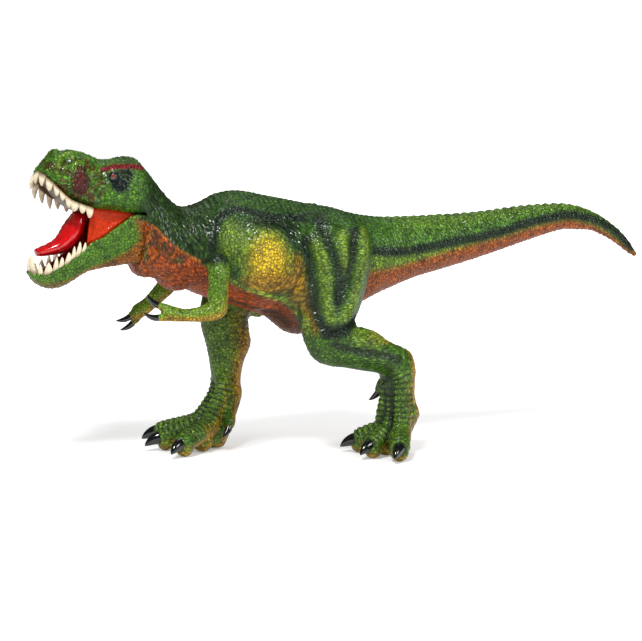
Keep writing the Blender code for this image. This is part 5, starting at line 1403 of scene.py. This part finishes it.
def build_claws(colours):
    """Glossy black claws on toes, rear toes and fingers."""
    enamel = enamelled("gloss_black_enamel", colours.claw, roughness=0.16, bead=3.0, relief=0.03,
                       lacquer=0.8, mottle=0.3)
    for name, (stations, side, heading, toes, spur) in zip(("leg_left", "leg_right"), FEET):
        grids, nodes = [], []
        for toe in toes:
            _, root, ahead = toe_line(stations, side, heading, toe)
            base = root + ahead * (toe[2] - CLAW_INSET) + np.array((0, 0, CLAW_LEVEL))
            if toe[0] == "outer":
                ahead = unit(ahead + 0.8 * level_way(heading))
            grids.append(claw_rings(base, ahead, np.array((0, 0, -1.0)), TOE_CLAW))
            nodes.append(name + "_claw_" + toe[0])
        tip, before = (np.array(spur[i]) * (1, side, 1) for i in (-1, -2))
        ahead = unit(tip - before)
        grids.append(claw_rings(tip, ahead, hooked(ahead), SPUR_CLAW))
        nodes.append(name + "_claw_rear")
        show(rings_mesh(name + "_claws", grids), enamel, "root", nodes)
    for name, side, _, fingers, body in ARMS:
        lines = [finger_line(finger, side) for finger in fingers]
        grids = [claw_rings(line[-1], ahead, hooked(ahead), FINGER_CLAW) for line, ahead in lines]
        show(rings_mesh(name + "_claws", grids), enamel, body,
             (name + "_claw_1", name + "_claw_2"))


def tooth_rings(root, lean, along, outward, height, width, blunt):
    """A tooth on a grid of place and turn: an oval of half its width along the row, narrowing as
    (1 - way^blunt)^0.6, that rises along its lean and bows outwards and back in."""
    way, turn = TOOTH_WAY, circle(16)
    line = root + way * lean * height + np.sin(math.pi * way) * outward * 0.10 * height
    half = 0.5 * width * np.maximum(1 - way ** blunt, 0.01) ** 0.6 * (1 - 0.22 * way)
    return (line[:, None] + (half * np.cos(turn))[..., None] * along
            + (0.72 * half * np.sin(turn))[..., None] * outward)


def tooth_row(edge, half_widths, inset):
    """One side of a mouth's rim, from the midplane back, moved inwards square to itself in plan:
    its points, the ways ahead and outwards at each, and the distance run."""
    lip = np.column_stack((edge[:, 0], half_widths, edge[:, 1]))
    lip = np.vstack((lip[0] * (1, 0, 1), lip[0] * (1, 0.5, 1), lip))
    run = run_along(lip)
    lip = columns_at(np.linspace(0, run[-1], 120), run, lip)
    for _ in range(12):
        lip[1:-1] += (lip[:-2] + lip[2:] - 2 * lip[1:-1]) * 0.25
    ahead = unit(np.gradient(lip, axis=0))
    inwards = np.column_stack((ahead[:, 1], -ahead[:, 0], 0 * ahead[:, 0]))
    line = lip + inwards * inset
    line[:, 1] = np.maximum(line[:, 1], 0)
    return line, ahead, -inwards, run_along(line)


def hanging_gum(line, outward, run, table):
    """The right side's hanging gum: an oval as deep as the gum hangs, carried along the row."""
    drop = 0.5 * (np.interp(run, table[:, 0], table[:, 4]) + 0.8)
    turn = circle(24)
    wall = (line - outward * 0.9 - (0, 0, 1) * (drop - 0.8)[:, None])[:, None]
    wall = wall + 0.9 * np.cos(turn)[:, None] * outward[:, None]
    wall = wall + (drop + 0.8)[:, None, None] * (np.sin(turn)[:, None] * (0, 0, 1))
    return wall[3:-16:3]


def palate(line, outward):
    """The roof of the mouth: a flat slab between the two rows."""
    inside = (line - outward * 1.4)[8:-24:5]
    x, y, z = inside.T
    rows = np.column_stack((x, z + 2.0, x, z - 3.4, np.maximum(y, 0.6), np.full(len(x), 0.5)))
    return egg_rings(rows, 40, 0.5)


def build_teeth(colours):
    """Ivory teeth in both jaws with the dark red gum bar between them, and above also the palate
    and the hanging gum. The palate, the hanging gum and the teeth's roots are ivory painted in
    shade."""
    ivory, gum, mouth = (np.array(c) for c in (colours.tooth, colours.gum, colours.mouth))
    # The teeth's roots are darker: painted shade where they meet the lip
    root_shade = gum * 0.8
    enamel = enamelled("ivory_enamel", None, roughness=0.4, bead=1.6, relief=0.05, lacquer=0.1,
                       mottle=0.16, specular=0.25)
    skull = spline(SKULL_SECTIONS, 160)[::-1]
    skull = skull[skull[:, 2] < -124.0]
    jaw = spline(JAW_SECTIONS, 160)[::-1]
    jaw = jaw[jaw[:, 0] < -123.0]
    for name, edge, half, tables, sign, inset, blunt, body, node in (
            ("upper_teeth_row", skull[:, 2:4], skull[:, 4], UPPER_TEETH, -1, 2.0, 2.8, "root",
             "upper_teeth"),
            ("lower_teeth_row", jaw[:, 0:2], jaw[:, 4], LOWER_TEETH, 1, 1.5, 1.9, "jaw",
             "lower_teeth")):
        line, ahead, outward, run = tooth_row(edge, half, inset)
        grids, paints = [], []
        for side, table in zip((-1, 1), tables):
            for distance, height, width, forward, drop in table:
                place, along, out = (columns_at(distance, run, rows) * (1, side, 1)
                                     for rows in (line, ahead, outward))
                root = place + (0, 0, sign * (drop - ROOT_DEPTH))
                lean = np.array((-forward, 0, sign)) + out * 0.10
                tall = height + ROOT_DEPTH
                grids.append(tooth_rings(root, lean, along, out, tall, width, blunt))
                paints.append(root_shade + (ivory - root_shade) * fade(0.0, 0.35, TOOTH_WAY))
        bar = (line - outward * 1.1 - (0, 0, 0.7))[:-8]
        bar = np.vstack((bar[::-1] * (1, -1, 1), bar[1:]))[::4]
        grids.append(tube_rings(bar, np.full(len(bar), 1.3), 12, 1.0, (0.0, 0.0, 1.0)))
        paints.append(np.tile(mouth, (len(bar), 1)))
        if sign < 0:
            hanging = hanging_gum(line, outward, run, np.array(tables[1]))
            # Palate and hanging gum: ivory painted as in shade, at about half brightness
            for slab, shade_level in ((palate(line, outward), 0.5), (hanging, 0.55)):
                grids.append(slab)
                paints.append(np.tile(gum * shade_level, (len(slab), 1)))
        show(rings_mesh(name, grids, paints), enamel, body, (node,))


def build_tongue(colours):
    """A glossy red tongue with a groove down its middle and low ridges across it."""
    rows = spline(TONGUE, 90)
    line, half = rows[:, :2], rows[:, 2:3]
    slope = unit(np.gradient(line, axis=0))
    up = np.stack((slope[:, 1], -slope[:, 0]), -1)
    turn = circle(64)
    across, rise = np.cos(turn), np.sin(turn)
    top = rise > 0
    groove = (-0.9 * np.exp(-(across / 0.16) ** 2) + 0.5 * across ** 2) * top
    ridge = 0.10 * np.sin(2 * math.pi * run_along(line) / 3.6)[:, None] * top * (1 - across ** 4)
    height = rows[:, 3:4] / 2 * rise + groove * np.minimum(half / 6, 1) + ridge
    grid = np.stack((line[:, :1] + up[:, :1] * height, half * across,
                     line[:, 1:] + up[:, 1:] * height), axis=-1)
    gloss = enamelled("gloss_red_tongue_enamel", colours.tongue, roughness=0.18, bead=2.2,
                      relief=0.08, lacquer=0.9, mottle=0.3)
    thing = show(rings_mesh("tongue_skin", [grid]), gloss, None, ("tongue",))
    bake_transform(thing)


def repaint(material, *nodes):
    """Give CAD nodes that stay in the scene a material."""
    for node in nodes:
        slots = frame["nodes"][node].data.materials
        slots.clear()
        slots.append(material)


def build_mouth(colours):
    """Cheek webs, bulged sheets with a rolled border and small beads, and the enamel of the
    floor of the mouth and the wall of the throat."""
    web = enamelled("orange_web_enamel", colours.cheek, roughness=0.42, bead=0.9, relief=0.30,
                    lacquer=0.16, mottle=0.36, specular=0.12)
    along, turn = np.linspace(0, 1, 80)[:, None], circle(72)
    height = (0.5 - 0.5 * np.cos(turn))[None]
    bulge = 1.2 * np.sin(math.pi * height) * np.sin(math.pi * along)
    edge = np.minimum(np.minimum(height, 1 - height) * 14 * along, (1 - along) * 22)
    roll = 1 + 0.9 * np.exp(-((edge - 1.3) / 0.9) ** 2)
    round_edge = squared(np.sin(turn), 0.4)
    for name, side, edges in (("cheek_left", -1, LEFT_CHEEK), ("cheek_right", 1, RIGHT_CHEEK)):
        upper, lower = (spline(line, 80)[:, None] for line in edges)
        x, z = np.moveaxis(lower + (upper - lower) * height[..., None], -1, 0)
        y = CHEEK_PLANE - bulge * 0.4 + CHEEK_THICKNESS / 2 * roll * round_edge
        flat = np.stack((x, 0 * y, z), axis=-1).reshape(-1, 3)
        y += 0.45 * round_edge * scale_domes(flat, 1.5, 41).reshape(y.shape)
        grid = np.stack((x, side * y, z), axis=-1)
        thing = show(rings_mesh(name + "_web", [grid]), web, None, (name,))
        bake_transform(thing)
    red = enamelled("dark_red_mouth_enamel", colours.mouth, roughness=0.3, bead=2.0, relief=0.1,
                    lacquer=0.5, mottle=0.4)
    repaint(red, "throat_lining", "mouth_floor")


def build_eyes(colours):
    """Gloss beads in the sockets with a red-orange iris, and the steel axle inside."""
    glass = enamelled("gloss_eye_enamel", None, roughness=0.06, bead=2.0, relief=0.02,
                      lacquer=1.0, mottle=0.2)
    lean, turn = np.linspace(1.5, -1.5, 28), circle(32)
    flat = np.cos(lean)[:, None] * np.stack((np.cos(turn), np.sin(turn)))[:, None]
    angle = math.pi / 2 - lean
    iris = (fade(0.06, 0.16, angle) * (1 - fade(0.34, 0.44, angle)))[:, None] * 0.45
    paint = np.array(colours.socket) + (np.array(colours.cheek) - colours.socket) * iris
    for name, side in (("eye_left", -1), ("eye_right", 1)):
        gaze = unit(np.array((-0.30, 0.95 * side, 0.10)))
        across = unit(np.cross(gaze, (0, 0, 1.0)))
        above = np.cross(across, gaze)
        ball = flat.transpose(1, 2, 0) @ np.stack((across, above))
        ball = ball + np.sin(lean)[:, None, None] * gaze
        grid = np.array(EYE_PLACE) * (1, side, 1) + EYE_RADIUS * ball
        show(rings_mesh(name + "_bead", [grid], [paint]), glass, "root", (name,))
    material, tree, shader = new_material("drawn_steel")
    place = add_node(tree, "TexCoord").outputs["Object"]
    wave = add_node(tree, "TexNoise", None, {"Vector": place, "Scale": 1 / (0.8 * MM)})
    rough = add_node(tree, "MapRange", None,
                     {"Value": wave.outputs["Fac"], "To Min": 0.2, "To Max": 0.45})
    set_inputs(tree, shader, {"Roughness": rough.outputs["Result"], "Metallic": 1.0,
                              "Base Color": (*linear("#b5b8bb"), 1.0)})
    repaint(material, "jaw_axle")


def aim(thing, place, target):
    """Put a lamp or camera at a place and turn it to a target."""
    thing.location = Vector(place)
    thing.rotation_mode = "QUATERNION"
    thing.rotation_quaternion = Vector(target - place).to_track_quat("-Z", "Y")


def build_stage(stage):
    """Pale floor, white backdrop, three soft lamps and the camera. The floor is lifted to white
    for the camera away from the figure, so its shadow stays."""
    scene = bpy.context.scene
    scene.view_settings.view_transform = "Standard"
    floor = bpy.data.meshes.new("floor")
    corners = [(x * FLOOR_REACH, y * FLOOR_REACH, 0)
               for x, y in ((-1, -1), (1, -1), (1, 1), (-1, 1))]
    floor.from_pydata(corners, [], [(0, 1, 2, 3)])
    new_object("floor", floor)
    material, tree, shader = new_material("white_paper_floor")
    rays = add_node(tree, "LightPath")
    place = add_node(tree, "TexCoord").outputs["Object"]
    far = add_node(tree, "VectorMath", {"operation": "LENGTH"}, {0: place})
    level = add_node(tree, "MapRange", None, {
        "Value": far.outputs["Value"], "From Min": 0.25, "From Max": 0.9, "To Min": 0.30})
    lift = add_node(tree, "Math", {"operation": "MULTIPLY"},
                    {0: rays.outputs["Is Camera Ray"], 1: level.outputs["Result"]})
    set_inputs(tree, shader, {
        "Base Color": (0.82, 0.82, 0.82, 1.0), "Roughness": 0.9, "Specular IOR Level": 0.0,
        "Emission Color": (1.0, 1.0, 1.0, 1.0), "Emission Strength": lift.outputs["Value"]})
    floor.materials.append(material)
    scene.world = bpy.data.worlds.new("white_studio")
    scene.world.use_nodes = True
    tree = scene.world.node_tree
    rays = add_node(tree, "LightPath")
    dimmed = add_node(tree, "MapRange", None,
                      {"Value": rays.outputs["Is Glossy Ray"], "To Min": 0.56, "To Max": 0.06})
    strength = add_node(tree, "Math", {"operation": "MAXIMUM"},
                        {0: rays.outputs["Is Camera Ray"], 1: dimmed.outputs["Result"]})
    set_inputs(tree, tree.nodes["Background"], {
        "Color": (1.0, 1.0, 1.0, 1.0), "Strength": strength.outputs["Value"]})
    middle = to_frame(CAMERA_TARGET)
    for name, place, size, share in LAMPS:
        lamp = bpy.data.lights.new(name, "AREA")
        lamp.energy = stage.key * share
        lamp.size = size
        aim(new_object(name, lamp), np.array(place) + middle, middle)
    camera = bpy.data.cameras.new("camera")
    camera.lens = stage.lens
    camera.sensor_width = 36.0
    scene.camera = new_object("camera", camera)
    back = np.array((math.sin(stage.azimuth) * math.cos(stage.elevation),
                     -math.cos(stage.azimuth) * math.cos(stage.elevation),
                     math.sin(stage.elevation)))
    aim(scene.camera, middle + back * stage.distance, middle)


class BodySkin(bpy.types.Operator):
    """Build the skin of the head, trunk, tail and legs"""

    bl_idname = "figure.body_skin"
    bl_label = "Body skin"

    def execute(self, context):
        build_body(context.scene.figure_paint, context.scene.figure_relief)
        return {"FINISHED"}


class JawSkin(bpy.types.Operator):
    """Build the skin of the lower jaw"""

    bl_idname = "figure.jaw_skin"
    bl_label = "Jaw skin"

    def execute(self, context):
        build_jaw(context.scene.figure_paint, context.scene.figure_relief)
        return {"FINISHED"}


class ArmSkins(bpy.types.Operator):
    """Build the skins of both arms"""

    bl_idname = "figure.arm_skins"
    bl_label = "Arm skins"

    def execute(self, context):
        for arm in ARMS:
            build_arm(*arm, context.scene.figure_paint)
        return {"FINISHED"}


class Claws(bpy.types.Operator):
    """Build the claws of the feet and hands"""

    bl_idname = "figure.claws"
    bl_label = "Claws"

    def execute(self, context):
        build_claws(context.scene.figure_paint)
        return {"FINISHED"}


class Teeth(bpy.types.Operator):
    """Build both rows of teeth"""

    bl_idname = "figure.teeth"
    bl_label = "Teeth"

    def execute(self, context):
        build_teeth(context.scene.figure_paint)
        return {"FINISHED"}


class Tongue(bpy.types.Operator):
    """Build the tongue"""

    bl_idname = "figure.tongue"
    bl_label = "Tongue"

    def execute(self, context):
        build_tongue(context.scene.figure_paint)
        return {"FINISHED"}


class Mouth(bpy.types.Operator):
    """Build the cheek webs and finish the inside of the mouth"""

    bl_idname = "figure.mouth"
    bl_label = "Mouth"

    def execute(self, context):
        build_mouth(context.scene.figure_paint)
        return {"FINISHED"}


class Eyes(bpy.types.Operator):
    """Finish the eyes and the axle"""

    bl_idname = "figure.eyes"
    bl_label = "Eyes"

    def execute(self, context):
        build_eyes(context.scene.figure_paint)
        return {"FINISHED"}


class Stage(bpy.types.Operator):
    """Build the floor, the lamps and the camera"""

    bl_idname = "figure.stage"
    bl_label = "Stage"

    def execute(self, context):
        build_stage(context.scene.figure_stage)
        return {"FINISHED"}


class FigurePanel(bpy.types.Panel):
    """Lists the figure's pieces, colours and sizes"""

    bl_idname = "VIEW3D_PT_figure"
    bl_label = "Vinyl tyrannosaur"
    bl_space_type = "VIEW_3D"
    bl_region_type = "UI"
    bl_category = "Figure"

    def draw(self, context):
        for operator in OPERATORS:
            self.layout.operator(operator.bl_idname)
        for pointer, _ in GROUPS:
            group = getattr(context.scene, pointer)
            box = self.layout.box()
            for name in group.__annotations__:
                box.prop(group, name)


OPERATORS = (BodySkin, JawSkin, ArmSkins, Claws, Teeth, Tongue, Mouth, Eyes, Stage)
GROUPS = (("figure_paint", FigurePaint), ("figure_relief", FigureRelief),
          ("figure_stage", FigureStage))


def register():
    """Register the groups, operators and panel."""
    for name, group in GROUPS:
        bpy.utils.register_class(group)
        setattr(bpy.types.Scene, name, bpy.props.PointerProperty(type=group))
    for kind in (*OPERATORS, FigurePanel):
        bpy.utils.register_class(kind)


def unregister():
    """Take them out again."""
    for kind in (FigurePanel, *reversed(OPERATORS)):
        bpy.utils.unregister_class(kind)
    for name, group in reversed(GROUPS):
        delattr(bpy.types.Scene, name)
        bpy.utils.unregister_class(group)


def main():
    """Build every piece and the stage."""
    register()
    for operator in OPERATORS:
        group, name = operator.bl_idname.split(".")
        getattr(getattr(bpy.ops, group), name)()


if __name__ == "__main__":
    main()
